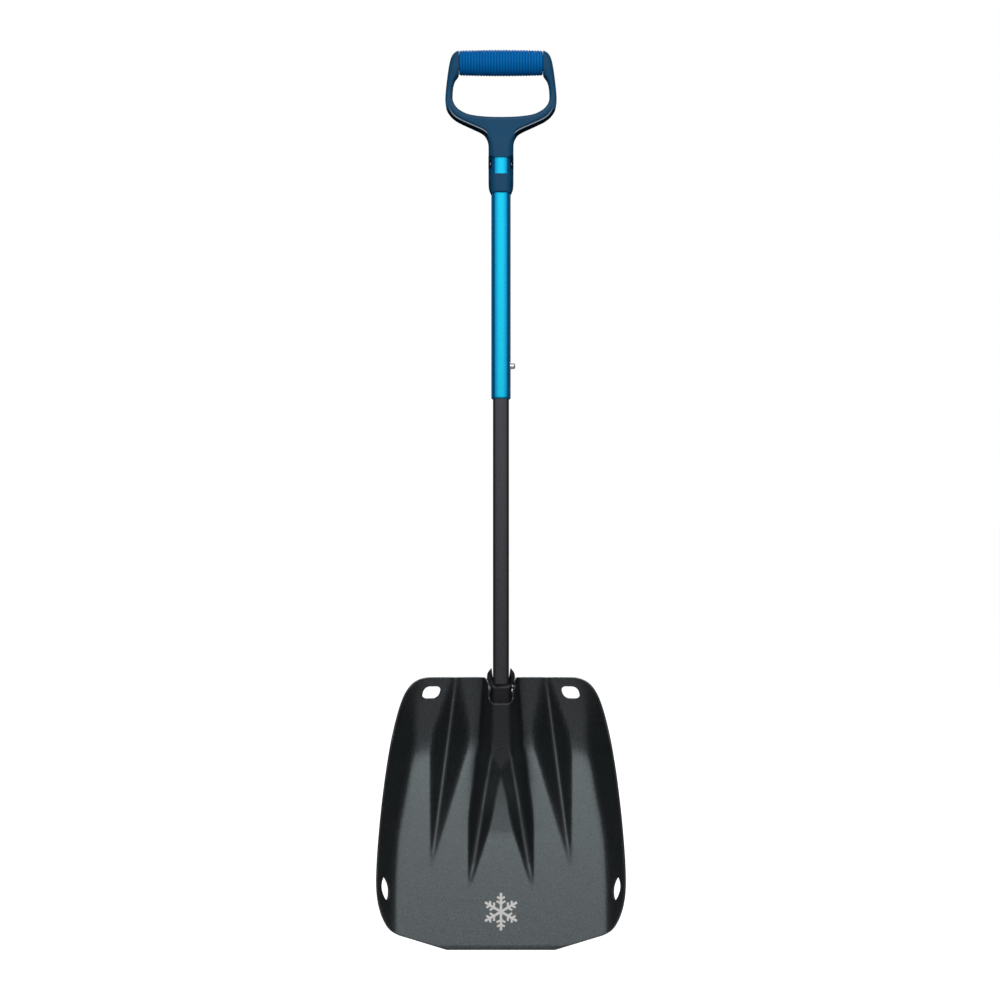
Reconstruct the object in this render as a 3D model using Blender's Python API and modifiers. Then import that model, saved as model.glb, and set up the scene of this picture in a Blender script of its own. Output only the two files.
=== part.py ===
"""Collapsible avalanche shovel: stamped aluminium scoop, two-part telescoping shaft and a D handle.

Axes: +X to the shovel's side, +Y to its back, +Z up the shaft.  The origin is the middle of the
blade's cutting edge, which lies on the shaft's centre line.  All sizes are in metres.
Run with:  blender --background --python part.py
"""
import math

import bmesh
import bpy
import numpy as np
from mathutils import Matrix, Vector

MM = 0.001

# ---------------------------------------------------------------- driving dimensions
GAP = 0.3 * MM                      # running clearance between neighbouring pieces

# Shaft section: a rounded trapezoid.  Every tube, sleeve and plug is this core grown by a radius.
CORE_FRONT_HALF = 5.6 * MM          # half width of the core at its front
CORE_REAR_HALF = 6.3 * MM           # half width of the core at its back
CORE_HALF_DEPTH = 9.1 * MM
CORNER_STEPS = 4                    # facets in each rounded corner

LOWER_OUTER = 2.4 * MM              # growth radii
LOWER_INNER = 1.0 * MM
UPPER_INNER = LOWER_OUTER + GAP
UPPER_OUTER = 3.7 * MM
SLEEVE_INNER = LOWER_OUTER + GAP
SLEEVE_OUTER = 4.9 * MM
NECK_INNER = UPPER_OUTER + GAP
NECK_OUTER = 6.95 * MM

LOWER_BOTTOM, LOWER_TOP = 212 * MM, 622 * MM
UPPER_BOTTOM, UPPER_TOP = 567.5 * MM, 840 * MM
TUBE_CHAMFER = 0.4 * MM
UPPER_END_TAPER = 2.5 * MM          # length of the rolled-in end of the upper tube

BUTTON_RADIUS = 3.25 * MM
BUTTON_HOLE_RADIUS = 3.7 * MM
BUTTON_TIP_X = 14.6 * MM
BUTTON_COLLAR_RADIUS = 4.5 * MM
BUTTON_COLLAR_X = (5.3 * MM, 6.3 * MM)
LOWER_BUTTON_Z = 272 * MM
UPPER_BUTTON_Z = 601.5 * MM
STOWED_HOLE_Z = 811 * MM            # hole the upper button finds when the shaft is collapsed

SHEET = 2.0 * MM                    # blade and bracket thickness
BLADE_TOP = 281 * MM
BEND_Z = 215 * MM                   # where the floor turns into the back wall
BEND_DEPTH = 22 * MM                # depth of the scoop there, behind the shaft's centre line
BACK_WALL_SLOPE = 0.34              # how far the back wall leans forward, depth per height
HUMP_HALF = 9.9 * MM                # half width of the flat channel that covers the sleeve
HUMP_FACE_Y = -15.5 * MM            # mid-plane of that channel at its lower end
HUMP_END_Z = 200 * MM
HUMP_LEAN = 0.083                   # how far the channel's face leans forward, depth per height
RIB_SLOPE = 0.85                    # depth per width of the outer ribs' flanks
WALL_SLOPE = 1.6                    # and of the side walls

SLEEVE_BOTTOM, SLEEVE_TOP = 206 * MM, 290 * MM
SLEEVE_LIP_Z = 271.4 * MM           # lowest point of the slanted lip, at the front

GRIP_Z = 913.5 * MM
GRIP_RADIUS = 13.5 * MM
GRIP_HALF_LENGTH = 43 * MM
GRIP_BORE_RADIUS = 8.3 * MM
FRAME_HALF_DEPTH = 11 * MM
NECK_BOTTOM = 781 * MM
WINDOW_HALF, WINDOW_Z = 6.9 * MM, (800.3 * MM, 816.8 * MM)
SIDE_OPENING_RADIUS = 5.5 * MM

RIVET_BORE_RADIUS = 2.3 * MM
RIVET_SHANK_RADIUS = 2.0 * MM
RIVET_HEIGHTS = (222 * MM, 250 * MM)
BRACKET_BOTTOM, BRACKET_TOP = 214 * MM, 262 * MM
BRACKET_COLUMNS = [4 * MM, 12.2 * MM, 19 * MM, 27 * MM, 36 * MM]    # the plate's folds, one side
BRACKET_MID_Y = CORE_HALF_DEPTH + SLEEVE_OUTER + GAP + SHEET / 2

# Blade outline: (height, half width), bottom to top, in millimetres.
BLADE_OUTLINE = [
    (-3, 56), (0.6, 56), (10.3, 89), (15.5, 107), (19, 112.5), (27, 118), (43, 123.5), (60, 126.5),
    (76, 127), (109, 125.5), (142, 123), (175, 119), (208, 114), (241, 106.5), (257.5, 101.3),
    (268, 95.8), (274, 90.5), (278, 84.5), (280.2, 78), (281, 70),
]
# Feature lines of the stamping, right half: (height, distance from the centre) in millimetres.
RIDGE_LINE = [(0, 43), (74, 31), (205, 9.9), (281, 9.9)]
RIDGE_FOOT = [(0, 46), (77, 33.5), (134, 30.5), (196, 25.5), (216, 23), (249, 20), (281, 18)]
# Depth per width of the flanks of the channel and the inner ridges, against height.
FLANK_SLOPE = [(74, 1.6), (134, 1.9), (196, 2.4), (216, 2.9), (240, 3.2), (281, 3.2)]
RIB_FOOT_IN = [(0, 76), (100, 67), (154, 54), (196, 39), (226, 33), (257, 45.5), (281, 45)]
RIB_LINE = [(0, 83), (100, 70), (265, 48.2), (281, 48)]
RIB_FOOT_OUT = [(0, 88), (100, 73), (173, 72), (226, 68), (257, 52), (281, 52)]
WALL_FOOT = [(0, 110), (64, 110), (113, 107), (154, 101), (191, 96), (212, 90), (240, 84),
             (268, 74), (281, 64)]
ROW_COUNT = 30
BAND_STEPS = (2, 2, 2, 2, 2, 3, 3)  # columns between neighbouring feature lines

HANDLE_RIVET_Z = 826 * MM
# Handle outline, right half, (half width, height) in millimetres from the neck up to the grip end.
HANDLE_OUTLINE = [
    (13.2, 826), (13.4, 832), (15, 836.5), (19.3, 840.5), (27, 844.6), (36, 848.7), (44.4, 852.8),
    (50.2, 857), (53.5, 861), (55.6, 865.2), (56.8, 869.5), (57.2, 874), (57, 881), (56, 890),
    (54.6, 902), (53.2, 911), (51.2, 919), (48.6, 923.4), (44, 925.5),
]
OPENING_OUTLINE = [(0, 857), (20, 857.8), (31, 859.4), (38, 861.8), (44, 865.6), (47.8, 870.2),
                   (49.6, 875), (49.9, 881), (49.2, 889), (47.8, 894.5), (44.5, 898.5)]


# ---------------------------------------------------------------- scene, materials, helpers
def clear_scene():
    for obj in list(bpy.data.objects):
        bpy.data.objects.remove(obj, do_unlink=True)


def make_collection(name):
    collection = bpy.data.collections.new(name)
    bpy.context.scene.collection.children.link(collection)
    return collection


def make_material(name, color, roughness, metallic):
    material = bpy.data.materials.new(name)
    material.use_nodes = True
    shader = material.node_tree.nodes["Principled BSDF"]
    shader.inputs["Base Color"].default_value = (*color, 1.0)
    shader.inputs["Roughness"].default_value = roughness
    shader.inputs["Metallic"].default_value = metallic
    material.diffuse_color = (*color, 1.0)
    return material


def add_mesh(name, mesh, collection):
    obj = bpy.data.objects.new(name, mesh)
    collection.objects.link(obj)
    return obj


def move_to(obj, collection):
    for old in list(obj.users_collection):
        old.objects.unlink(obj)
    collection.objects.link(obj)


def cylinder(name, radius, start, end, collection, segments=24):
    """A cylinder from start to end."""
    start, end = Vector(start), Vector(end)
    along = end - start
    turn = along.to_track_quat("Z", "Y").to_euler()
    bpy.ops.mesh.primitive_cylinder_add(vertices=segments, radius=radius, depth=along.length,
                                        location=(start + end) / 2, rotation=turn)
    obj = bpy.context.object
    obj.name = name
    move_to(obj, collection)
    return obj


def box(name, low, high, collection):
    """A box between two corners."""
    low, high = Vector(low), Vector(high)
    bpy.ops.mesh.primitive_cube_add(size=1, location=(low + high) / 2)
    obj = bpy.context.object
    obj.name = name
    obj.data.transform(Matrix.Diagonal((*(high - low), 1)))
    move_to(obj, collection)
    return obj


def turned(name, profile, axis, location, collection, steps=20, closed=False, flip=False):
    """Turn an outline of (distance along the axis, radius) points about the X or Y axis."""
    if axis == "X":
        points = [(reach, 0, radius) for reach, radius in profile]
    else:
        points = [(radius, reach, 0) for reach, radius in profile]
    edges = list(zip(range(len(points)), range(1, len(points))))
    if closed:
        edges.append((len(points) - 1, 0))
    mesh = bpy.data.meshes.new(name)
    mesh.from_pydata(points, edges, [])
    obj = add_mesh(name, mesh, collection)
    obj.location = location
    screw = obj.modifiers.new("turn", "SCREW")
    screw.axis = axis
    screw.angle = math.tau
    screw.steps = screw.render_steps = steps
    screw.use_merge_vertices = True
    screw.merge_threshold = 0.00001
    screw.use_normal_calculate = True
    screw.use_normal_flip = flip
    return obj


def section(radius):
    """Points of the shaft section grown by radius, anticlockwise seen from above."""
    lean = math.atan2(CORE_REAR_HALF - CORE_FRONT_HALF, 2 * CORE_HALF_DEPTH)
    corners = [
        (CORE_FRONT_HALF, -CORE_HALF_DEPTH, -math.pi / 2, -lean),
        (CORE_REAR_HALF, CORE_HALF_DEPTH, -lean, math.pi / 2),
        (-CORE_REAR_HALF, CORE_HALF_DEPTH, math.pi / 2, math.pi + lean),
        (-CORE_FRONT_HALF, -CORE_HALF_DEPTH, math.pi + lean, 1.5 * math.pi),
    ]
    points = []
    for x, y, start, end in corners:
        for i in range(CORNER_STEPS + 1):
            angle = start + (end - start) * i / CORNER_STEPS
            points.append((x + radius * math.cos(angle), y + radius * math.sin(angle)))
    return points


def loft(name, rings, collection, hollow=False):
    """Skin rings of (z, growth radius).  A hollow loft closes on itself, a solid one gets caps."""
    bm = bmesh.new()
    loops = [[bm.verts.new((x, y, z)) for x, y in section(radius)] for z, radius in rings]
    pairs = list(zip(loops, loops[1:]))
    if hollow:
        pairs.append((loops[-1], loops[0]))
    for low, high in pairs:
        for i in range(len(low)):
            j = (i + 1) % len(low)
            bm.faces.new((low[i], low[j], high[j], high[i]))
    if not hollow:
        bm.faces.new(reversed(loops[0]))
        bm.faces.new(loops[-1])
    bmesh.ops.recalc_face_normals(bm, faces=bm.faces)
    mesh = bpy.data.meshes.new(name)
    bm.to_mesh(mesh)
    bm.free()
    return add_mesh(name, mesh, collection)


def flat_shape(name, outline, half_depth, bevel, collection):
    """A filled outline in the XZ plane, given depth along Y and rounded edges, as a mesh."""
    curve = bpy.data.curves.new(name, "CURVE")
    curve.dimensions = "2D"
    curve.fill_mode = "BOTH"
    curve.extrude = half_depth - bevel
    curve.bevel_depth = bevel
    curve.bevel_resolution = 1
    curve.offset = -bevel
    spline = curve.splines.new("POLY")
    spline.points.add(len(outline) - 1)
    for point, (x, z) in zip(spline.points, outline):
        point.co = (x, z, 0, 1)
    spline.use_cyclic_u = True
    source = add_mesh(name + "_curve", curve, collection)
    source.rotation_euler = (math.pi / 2, 0, 0)
    bpy.context.view_layer.update()
    graph = bpy.context.evaluated_depsgraph_get()
    mesh = bpy.data.meshes.new_from_object(source.evaluated_get(graph))
    bm = bmesh.new()
    bm.from_mesh(mesh)
    bmesh.ops.remove_doubles(bm, verts=bm.verts, dist=0.00001)
    bmesh.ops.recalc_face_normals(bm, faces=bm.faces)
    bm.to_mesh(mesh)
    bm.free()
    obj = add_mesh(name, mesh, collection)
    obj.matrix_world = source.matrix_world.copy()
    bpy.data.objects.remove(source, do_unlink=True)
    return obj


def boolean(obj, other, operation="DIFFERENCE"):
    modifier = obj.modifiers.new(operation.lower(), "BOOLEAN")
    modifier.operation = operation
    modifier.solver = "EXACT"
    modifier.object = other
    other.hide_render = True
    other.display_type = "WIRE"


def finish(obj, material, parent=None, origin=(0, 0, 0), smooth=True):
    """Give a piece its material and parent, and its origin on its joint's axis."""
    if obj.type == "MESH":
        shift = Vector(origin) - obj.matrix_basis.translation
        turned_back = obj.matrix_basis.to_3x3().inverted() @ shift
        obj.data.transform(Matrix.Translation(-turned_back))
    obj.location = Vector(origin) - (parent.location if parent else Vector())
    obj.parent = parent
    obj.data.materials.clear()
    obj.data.materials.append(material)
    if smooth:
        obj.data.shade_smooth()
        obj.data.set_sharp_from_angle(angle=math.radians(35))


# ---------------------------------------------------------------- blade surface
def along(line, z):
    """Distance from the centre of a feature line at height z, both in millimetres."""
    heights, distances = zip(*line)
    return float(np.interp(z, heights, distances))


def soft_min(a, b, reach):
    """The smaller of two heights, with the corner between them rounded."""
    blend = max(reach - abs(a - b), 0) / reach
    return min(a, b) - blend * blend * reach / 4


def floor_depth(z):
    """Depth of the plain scoop at height z: a floor that meets a back wall leaning forward."""
    floor = BEND_DEPTH * z / BEND_Z
    back_wall = BEND_DEPTH - BACK_WALL_SLOPE * (z - BEND_Z)
    return soft_min(floor, back_wall, 5 * MM)


def chord(z, low, high):
    """Depth of a straight line in space between two (height, depth) points."""
    share = (z - low[0]) / (high[0] - low[0])
    return low[1] + share * (high[1] - low[1])


def blade_depth(x, z):
    """Mid-plane depth y of the stamped sheet at (x, z), in metres; smaller is nearer the front."""
    side, z_mm = abs(x), z / MM
    depth = floor_depth(z)

    # side wall
    out = side - along(WALL_FOOT, z_mm) * MM
    depth -= WALL_SLOPE * 0.5 * (out + math.hypot(out, 4 * MM))

    # outer rib: a straight gusset that bridges the bend
    rib_low, rib_high = 100 * MM, 265 * MM
    line = chord(z, (rib_low, floor_depth(rib_low)), (rib_high, floor_depth(rib_high)))
    rib = line + RIB_SLOPE * abs(side - along(RIB_LINE, z_mm) * MM)
    depth = soft_min(depth, rib, 1 * MM)

    # channel over the sleeve, which runs out below its end
    flank = along(FLANK_SLOPE, z_mm)
    face = HUMP_FACE_Y - HUMP_LEAN * max(z - HUMP_END_Z, 0)
    hump = face + flank * max(side - HUMP_HALF, 0) + 0.75 * max(HUMP_END_Z - z, 0)
    depth = soft_min(depth, hump, 1.5 * MM)

    # inner ridges: from the channel's edges down to the floor
    ridge_low, ridge_high = 74 * MM, 205 * MM
    line = chord(z, (ridge_low, floor_depth(ridge_low)), (ridge_high, HUMP_FACE_Y))
    ridge = max(line, face) + flank * abs(side - along(RIDGE_LINE, z_mm) * MM)
    if z < ridge_high:
        depth = soft_min(depth, ridge, 1 * MM)
    return depth


def blade_columns(z):
    """Distances from the centre of the grid's columns at height z, centre to edge."""
    z_mm = z / MM
    edge = along(BLADE_OUTLINE, z_mm)
    lines = [0] + [along(line, z_mm) for line in (
        RIDGE_LINE, RIDGE_FOOT, RIB_FOOT_IN, RIB_LINE, RIB_FOOT_OUT, WALL_FOOT)]
    inner_limit = min(edge - 3, 110)
    scale = min(1, inner_limit / lines[-1])
    lines = [value * scale if scale < 1 and value > 46 else value for value in lines]
    for i in range(len(lines) - 1, 0, -1):
        lines[i - 1] = min(lines[i - 1], lines[i] - 1)
    lines[0] = 0
    lines.append(edge)
    columns = []
    for steps, start, end in zip(BAND_STEPS, lines, lines[1:]):
        columns += [start + (end - start) * i / steps for i in range(steps)]
    return [value * MM for value in columns + [edge]]


def blade_rows():
    """Row heights: close together at the two ends, where the outline turns, and even between."""
    bottom = [-3, 0.6, 5, 10.3, 15.5, 19, 27]
    top = [257.5, 268, 274, 278, 280.2, 281]
    even = np.linspace(27, 257.5, ROW_COUNT - len(bottom) - len(top) + 2)[1:-1]
    return [z * MM for z in (*bottom, *even, *top)]


def blade_sheet(name, collection):
    """The stamped sheet as an open grid, right half mirrored to the left, then thickened."""
    rows = blade_rows()
    half = len(blade_columns(rows[0])) - 1
    mesh = bpy.data.meshes.new(name)
    bm = bmesh.new()
    bmesh.ops.create_grid(bm, x_segments=2 * half, y_segments=len(rows) - 1, size=1)
    for vert in bm.verts:
        column = round((vert.co.x + 1) / 2 * 2 * half) - half
        row = round((vert.co.y + 1) / 2 * (len(rows) - 1))
        z = rows[row]
        x = math.copysign(blade_columns(z)[abs(column)], column) if column else 0
        vert.co = (x, blade_depth(x, max(z, 0)), z)
    bmesh.ops.recalc_face_normals(bm, faces=bm.faces)
    bm.to_mesh(mesh)
    bm.free()
    obj = add_mesh(name, mesh, collection)
    thick = obj.modifiers.new("thickness", "SOLIDIFY")
    thick.thickness = SHEET
    thick.offset = 0
    thick.use_even_offset = True
    return obj


def rounded_outline(width, height, radius, steps=3):
    """A rounded rectangle about the origin, as a list of points."""
    points = []
    for quarter in range(4):
        cx = (width / 2 - radius) * (1 if quarter in (0, 3) else -1)
        cz = (height / 2 - radius) * (1 if quarter in (0, 1) else -1)
        for i in range(steps + 1):
            angle = math.pi / 2 * (quarter + i / steps)
            points.append((cx + radius * math.cos(angle), cz + radius * math.sin(angle)))
    return points


# ---------------------------------------------------------------- pieces
def make_blade(parts, cutters, material, parent):
    blade = blade_sheet("blade_shell", parts)
    deep = 60 * MM

    tip_trim = box("cut_tip", (-0.1, -deep, -20 * MM), (0.1, deep, 0), cutters)
    boolean(blade, tip_trim)

    # the notch over the sleeve opens wider above the bend of its sides
    low, turn, high = 254 * MM, 266 * MM, 275 * MM
    narrow, wide, corner = 11.9 * MM, 15.9 * MM, 5.5 * MM
    notch = [(narrow, turn), (wide, high), (wide, BLADE_TOP + 10 * MM)]
    notch += [(-x, z) for x, z in reversed(notch)]
    for centre_x, start in ((-(narrow - corner), math.pi), (narrow - corner, 1.5 * math.pi)):
        for i in range(4):
            angle = start + math.pi / 2 * i / 3
            notch.append((centre_x + corner * math.cos(angle), low + corner * (1 + math.sin(angle))))
    boolean(blade, flat_shape("cut_notch", notch, 30 * MM, 0, cutters))

    # access hole for the lower button
    boolean(blade, cylinder("cut_button_access", 5.2 * MM, (8 * MM, 0, LOWER_BUTTON_Z),
                            (BUTTON_TIP_X + 3 * MM, 0, LOWER_BUTTON_Z), cutters))

    for side in (-1, 1):
        name = "left" if side < 0 else "right"
        slot = flat_shape(f"cut_upper_{name}", rounded_outline(19 * MM, 13 * MM, 5.6 * MM),
                          40 * MM, 0, cutters)
        slot.location = (side * 71.8 * MM, 0, 265 * MM)
        boolean(blade, slot)
        slot = flat_shape(f"cut_lower_{name}", rounded_outline(15 * MM, 24 * MM, 6.5 * MM),
                          12 * MM, 0, cutters)
        slot.location = (side * 118.7 * MM, -8 * MM, 64 * MM)
        tilt = Matrix.Rotation(-side * math.atan(WALL_SLOPE), 4, "Z")
        slot.matrix_basis = Matrix.Translation(slot.location) @ tilt @ Matrix.Rotation(
            math.pi / 2, 4, "X")
        boolean(blade, slot)
    finish(blade, material, parent)


def make_sleeve(parts, cutters, material, parent):
    """Socket sleeve with a flared mouth, cut low at the front."""
    outside = [(SLEEVE_BOTTOM, SLEEVE_OUTER - 1 * MM), (SLEEVE_BOTTOM + 1 * MM, SLEEVE_OUTER),
               (275 * MM, SLEEVE_OUTER), (279 * MM, 6.2 * MM), (282.5 * MM, 7.9 * MM),
               (285.5 * MM, 8.0 * MM), (288.3 * MM, 6.6 * MM), (SLEEVE_TOP, 4.3 * MM)]
    inside = [(SLEEVE_TOP, SLEEVE_INNER + 0.5 * MM), (287 * MM, SLEEVE_INNER),
              (208.5 * MM, SLEEVE_INNER), (208.5 * MM, 0.2 * MM), (SLEEVE_BOTTOM, 0.2 * MM)]
    sleeve = loft("socket_sleeve", outside + inside, parts, hollow=True)
    front = CORE_HALF_DEPTH + SLEEVE_OUTER
    rise = 60 * MM
    slant = box("cut_lip", (-rise / 2, -rise, 0), (rise / 2, rise / 2, rise), cutters)
    slant.data.transform(Matrix.Translation(slant.location))
    slant.location = (0, -front, SLEEVE_LIP_Z)
    slant.rotation_euler = (math.radians(45), 0, 0)
    boolean(sleeve, slant)
    boolean(sleeve, cylinder("cut_sleeve_button", BUTTON_HOLE_RADIUS, (4 * MM, 0, LOWER_BUTTON_Z),
                             (30 * MM, 0, LOWER_BUTTON_Z), cutters))
    for z in RIVET_HEIGHTS:
        boolean(sleeve, cylinder("cut_sleeve_rivet", RIVET_BORE_RADIUS, (0, 5 * MM, z), (0, 20 * MM, z),
                                 cutters, 16))
    finish(sleeve, material, parent)


def bracket_depth(x, z):
    """Mid-plane of the rear plate: over the sleeve in the middle, behind the blade at its sides."""
    flange = floor_depth(z) + SHEET + 2 * GAP
    start, end = BRACKET_COLUMNS[1], BRACKET_COLUMNS[2]
    share = min(max((abs(x) - start) / (end - start), 0), 1)
    return BRACKET_MID_Y + share * (flange - BRACKET_MID_Y)


def make_bracket(parts, cutters, material, parent):
    """Stamped plate that closes the channel behind the sleeve."""
    columns = [-x for x in reversed(BRACKET_COLUMNS)] + BRACKET_COLUMNS
    last = len(columns) - 1
    bm = bmesh.new()
    bmesh.ops.create_grid(bm, x_segments=last, y_segments=6, size=1)
    for vert in bm.verts:
        x = columns[round((vert.co.x + 1) / 2 * last)]
        z = BRACKET_BOTTOM + (vert.co.y + 1) / 2 * (BRACKET_TOP - BRACKET_BOTTOM)
        vert.co = (x, bracket_depth(x, z), z)
    mesh = bpy.data.meshes.new("rear_bracket")
    bm.to_mesh(mesh)
    bm.free()
    bracket = add_mesh("rear_bracket", mesh, parts)
    thick = bracket.modifiers.new("thickness", "SOLIDIFY")
    thick.thickness = SHEET
    thick.offset = 0
    thick.use_even_offset = True
    for z in RIVET_HEIGHTS:
        boolean(bracket, cylinder("cut_bracket_rivet", RIVET_BORE_RADIUS, (0, 5 * MM, z), (0, 30 * MM, z),
                                  cutters, 16))
    finish(bracket, material, parent)

    # weld beads down the plate's two long edges
    for side, name in ((-1, "left"), (1, "right")):
        x = side * (BRACKET_COLUMNS[-1] + 2.2 * MM)
        ends = []
        for z in (221 * MM, 256 * MM):
            ends.append((x, floor_depth(z) + SHEET / 2 + 2.1 * MM, z))
        bead = cylinder(f"weld_bead_{name}", 1.6 * MM, ends[0], ends[1], parts, 10)
        bevel = bead.modifiers.new("rounded_ends", "BEVEL")
        bevel.width = 0.7 * MM
        bevel.segments = 1
        bevel.limit_method = "ANGLE"
        bevel.angle_limit = math.radians(60)
        mesh_origin = Vector((x, 0, BEND_Z))
        bead.data.transform(bead.matrix_basis)
        bead.matrix_basis = Matrix()
        finish(bead, material, parent, mesh_origin)


def make_rivet(name, z, shank_end, plate_y, head_radius, parts, material, parent):
    """Dome-headed rivet along Y whose head stands behind plate_y."""
    shank = RIVET_SHANK_RADIUS
    head = plate_y + GAP
    profile = [(shank_end, 0.0), (shank_end, shank), (head, shank), (head, head_radius),
               (head + 0.7 * MM, head_radius), (head + 1.5 * MM, head_radius * 0.55),
               (head + 1.7 * MM, 0.0)]
    rivet = turned(name, profile, "Y", (0, 0, z), parts, 16)
    finish(rivet, material, parent, (0, 0, z))


def make_lower_tube(parts, cutters, material, parent):
    outside = [(LOWER_BOTTOM, LOWER_OUTER - TUBE_CHAMFER), (LOWER_BOTTOM + TUBE_CHAMFER, LOWER_OUTER),
               (LOWER_TOP - TUBE_CHAMFER, LOWER_OUTER), (LOWER_TOP, LOWER_OUTER - TUBE_CHAMFER)]
    inside = [(LOWER_TOP, LOWER_INNER), (LOWER_BOTTOM, LOWER_INNER)]
    tube = loft("lower_tube", outside + inside, parts, hollow=True)
    for z in (LOWER_BUTTON_Z, UPPER_BUTTON_Z):
        boolean(tube, cylinder("cut_lower_tube", BUTTON_HOLE_RADIUS, (4 * MM, 0, z),
                               (20 * MM, 0, z), cutters))
    finish(tube, material, parent, parent.location)


def make_upper_tube(parts, cutters, material, parent):
    outside = [(UPPER_BOTTOM, UPPER_OUTER - 0.8 * MM), (UPPER_BOTTOM + UPPER_END_TAPER, UPPER_OUTER),
               (UPPER_TOP - TUBE_CHAMFER, UPPER_OUTER), (UPPER_TOP, UPPER_OUTER - TUBE_CHAMFER)]
    inside = [(UPPER_TOP, UPPER_INNER), (UPPER_BOTTOM, UPPER_INNER)]
    tube = loft("upper_tube", outside + inside, parts, hollow=True)
    for z in (UPPER_BUTTON_Z, STOWED_HOLE_Z):
        boolean(tube, cylinder("cut_upper_tube", BUTTON_HOLE_RADIUS, (4 * MM, 0, z),
                               (20 * MM, 0, z), cutters))
    boolean(tube, cylinder("cut_upper_tube_rivet", RIVET_BORE_RADIUS, (0, 5 * MM, HANDLE_RIVET_Z),
                           (0, 20 * MM, HANDLE_RIVET_Z), cutters, 16))
    finish(tube, material, parent, parent.location)


def make_plug(name, face, inward, shank_length, parts, material, parent):
    """Plastic plug: a flange against the tube's end and a shank inside it."""
    flange = 2.6 * MM
    shank_radius = LOWER_INNER - GAP
    near = face - inward * GAP
    rings = [(near - inward * flange, LOWER_OUTER - 0.9 * MM),
             (near - inward * (flange - 0.9 * MM), LOWER_OUTER - 0.1 * MM),
             (near, LOWER_OUTER - 0.1 * MM), (near, shank_radius),
             (near + inward * shank_length, shank_radius - 0.2 * MM)]
    plug = loft(name, rings, parts)
    finish(plug, material, parent, parent.location)


def make_button(name, z, parts, material, parent):
    """Snap button on the +X side: domed pin with a collar behind the tube's wall."""
    back, collar = BUTTON_COLLAR_X
    dome = 1.6 * MM
    profile = [(back, 0.0), (back, BUTTON_COLLAR_RADIUS), (collar, BUTTON_COLLAR_RADIUS),
               (collar, BUTTON_RADIUS)]
    for i in range(5):
        angle = math.pi / 2 * i / 4
        profile.append((BUTTON_TIP_X - dome + dome * math.sin(angle),
                        BUTTON_RADIUS - dome + dome * math.cos(angle)))
    profile.append((BUTTON_TIP_X, 0.0))
    button = turned(name, profile, "X", (0, 0, z), parts, flip=True)
    finish(button, material, parent, (0, 0, z))


def make_spring(name, z, parts, material, parent):
    """Leaf spring bent from strip: one leg on the tube's wall, the other behind the button."""
    strip, half_width = 0.5 * MM, 3.0 * MM
    right, left = 4.6 * MM, -6.2 * MM
    path = [(right, 6 * MM), (right, -6 * MM), (right - 0.6 * MM, -14 * MM)]
    middle, radius = (right + left) / 2 - 0.3 * MM, (right - left) / 2 - 0.3 * MM
    for i in range(9):
        angle = math.pi * i / 8
        path.append((middle + radius * math.cos(angle), -20 * MM - radius * math.sin(angle)))
    path += [(left, -12 * MM), (left, 8 * MM)]
    bm = bmesh.new()
    edge_loop = [bm.verts.new((x, -half_width, dz)) for x, dz in path]
    edges = [bm.edges.new(pair) for pair in zip(edge_loop, edge_loop[1:])]
    made = bmesh.ops.extrude_edge_only(bm, edges=edges)
    moved = [item for item in made["geom"] if isinstance(item, bmesh.types.BMVert)]
    bmesh.ops.translate(bm, verts=moved, vec=(0, 2 * half_width, 0))
    mesh = bpy.data.meshes.new(name)
    bm.to_mesh(mesh)
    bm.free()
    spring = add_mesh(name, mesh, parts)
    spring.location = (0, 0, z)
    thick = spring.modifiers.new("thickness", "SOLIDIFY")
    thick.thickness = strip
    thick.offset = 0
    finish(spring, material, parent, (0, 0, z))


def mirrored(half):
    """A closed outline from its right half, millimetres to metres."""
    whole = list(half) + [(-x, z) for x, z in reversed(half) if x > 0]
    return [(x * MM, z * MM) for x, z in whole]


def make_handle(parts, cutters, material, parent):
    frame = flat_shape("handle_frame", mirrored(HANDLE_OUTLINE), FRAME_HALF_DEPTH, 3.5 * MM, parts)
    neck_rings = [(NECK_BOTTOM, NECK_INNER + 0.9 * MM), (NECK_BOTTOM + 6 * MM, NECK_OUTER),
                  (838 * MM, NECK_OUTER), (848 * MM, 4 * MM)]
    boolean(frame, loft("join_neck", neck_rings, cutters), "UNION")
    slot_half = GRIP_HALF_LENGTH / MM + 0.4
    top = mirrored(OPENING_OUTLINE + [(slot_half, 900), (slot_half, 940)])
    boolean(frame, flat_shape("cut_opening", top, 40 * MM, 0, cutters))
    reach = GRIP_HALF_LENGTH + 5 * MM
    boolean(frame, cylinder("join_bar", GRIP_BORE_RADIUS - GAP, (-reach, 0, GRIP_Z),
                            (reach, 0, GRIP_Z), cutters, 20), "UNION")
    boolean(frame, loft("cut_bore", [(NECK_BOTTOM - 10 * MM, NECK_INNER),
                                     (UPPER_TOP + 0.6 * MM, NECK_INNER)], cutters))
    low, high = WINDOW_Z
    boolean(frame, box("cut_window", (-WINDOW_HALF, -30 * MM, low), (WINDOW_HALF, -5 * MM, high),
                       cutters))
    boolean(frame, cylinder("cut_side_openings", SIDE_OPENING_RADIUS, (-30 * MM, 0, STOWED_HOLE_Z),
                            (30 * MM, 0, STOWED_HOLE_Z), cutters))
    boolean(frame, cylinder("cut_neck_rivet", RIVET_BORE_RADIUS, (0, 5 * MM, HANDLE_RIVET_Z),
                            (0, 30 * MM, HANDLE_RIVET_Z), cutters, 16))
    frame.data.transform(frame.matrix_basis)
    frame.matrix_basis = Matrix()
    finish(frame, material, parent, parent.location)


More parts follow.
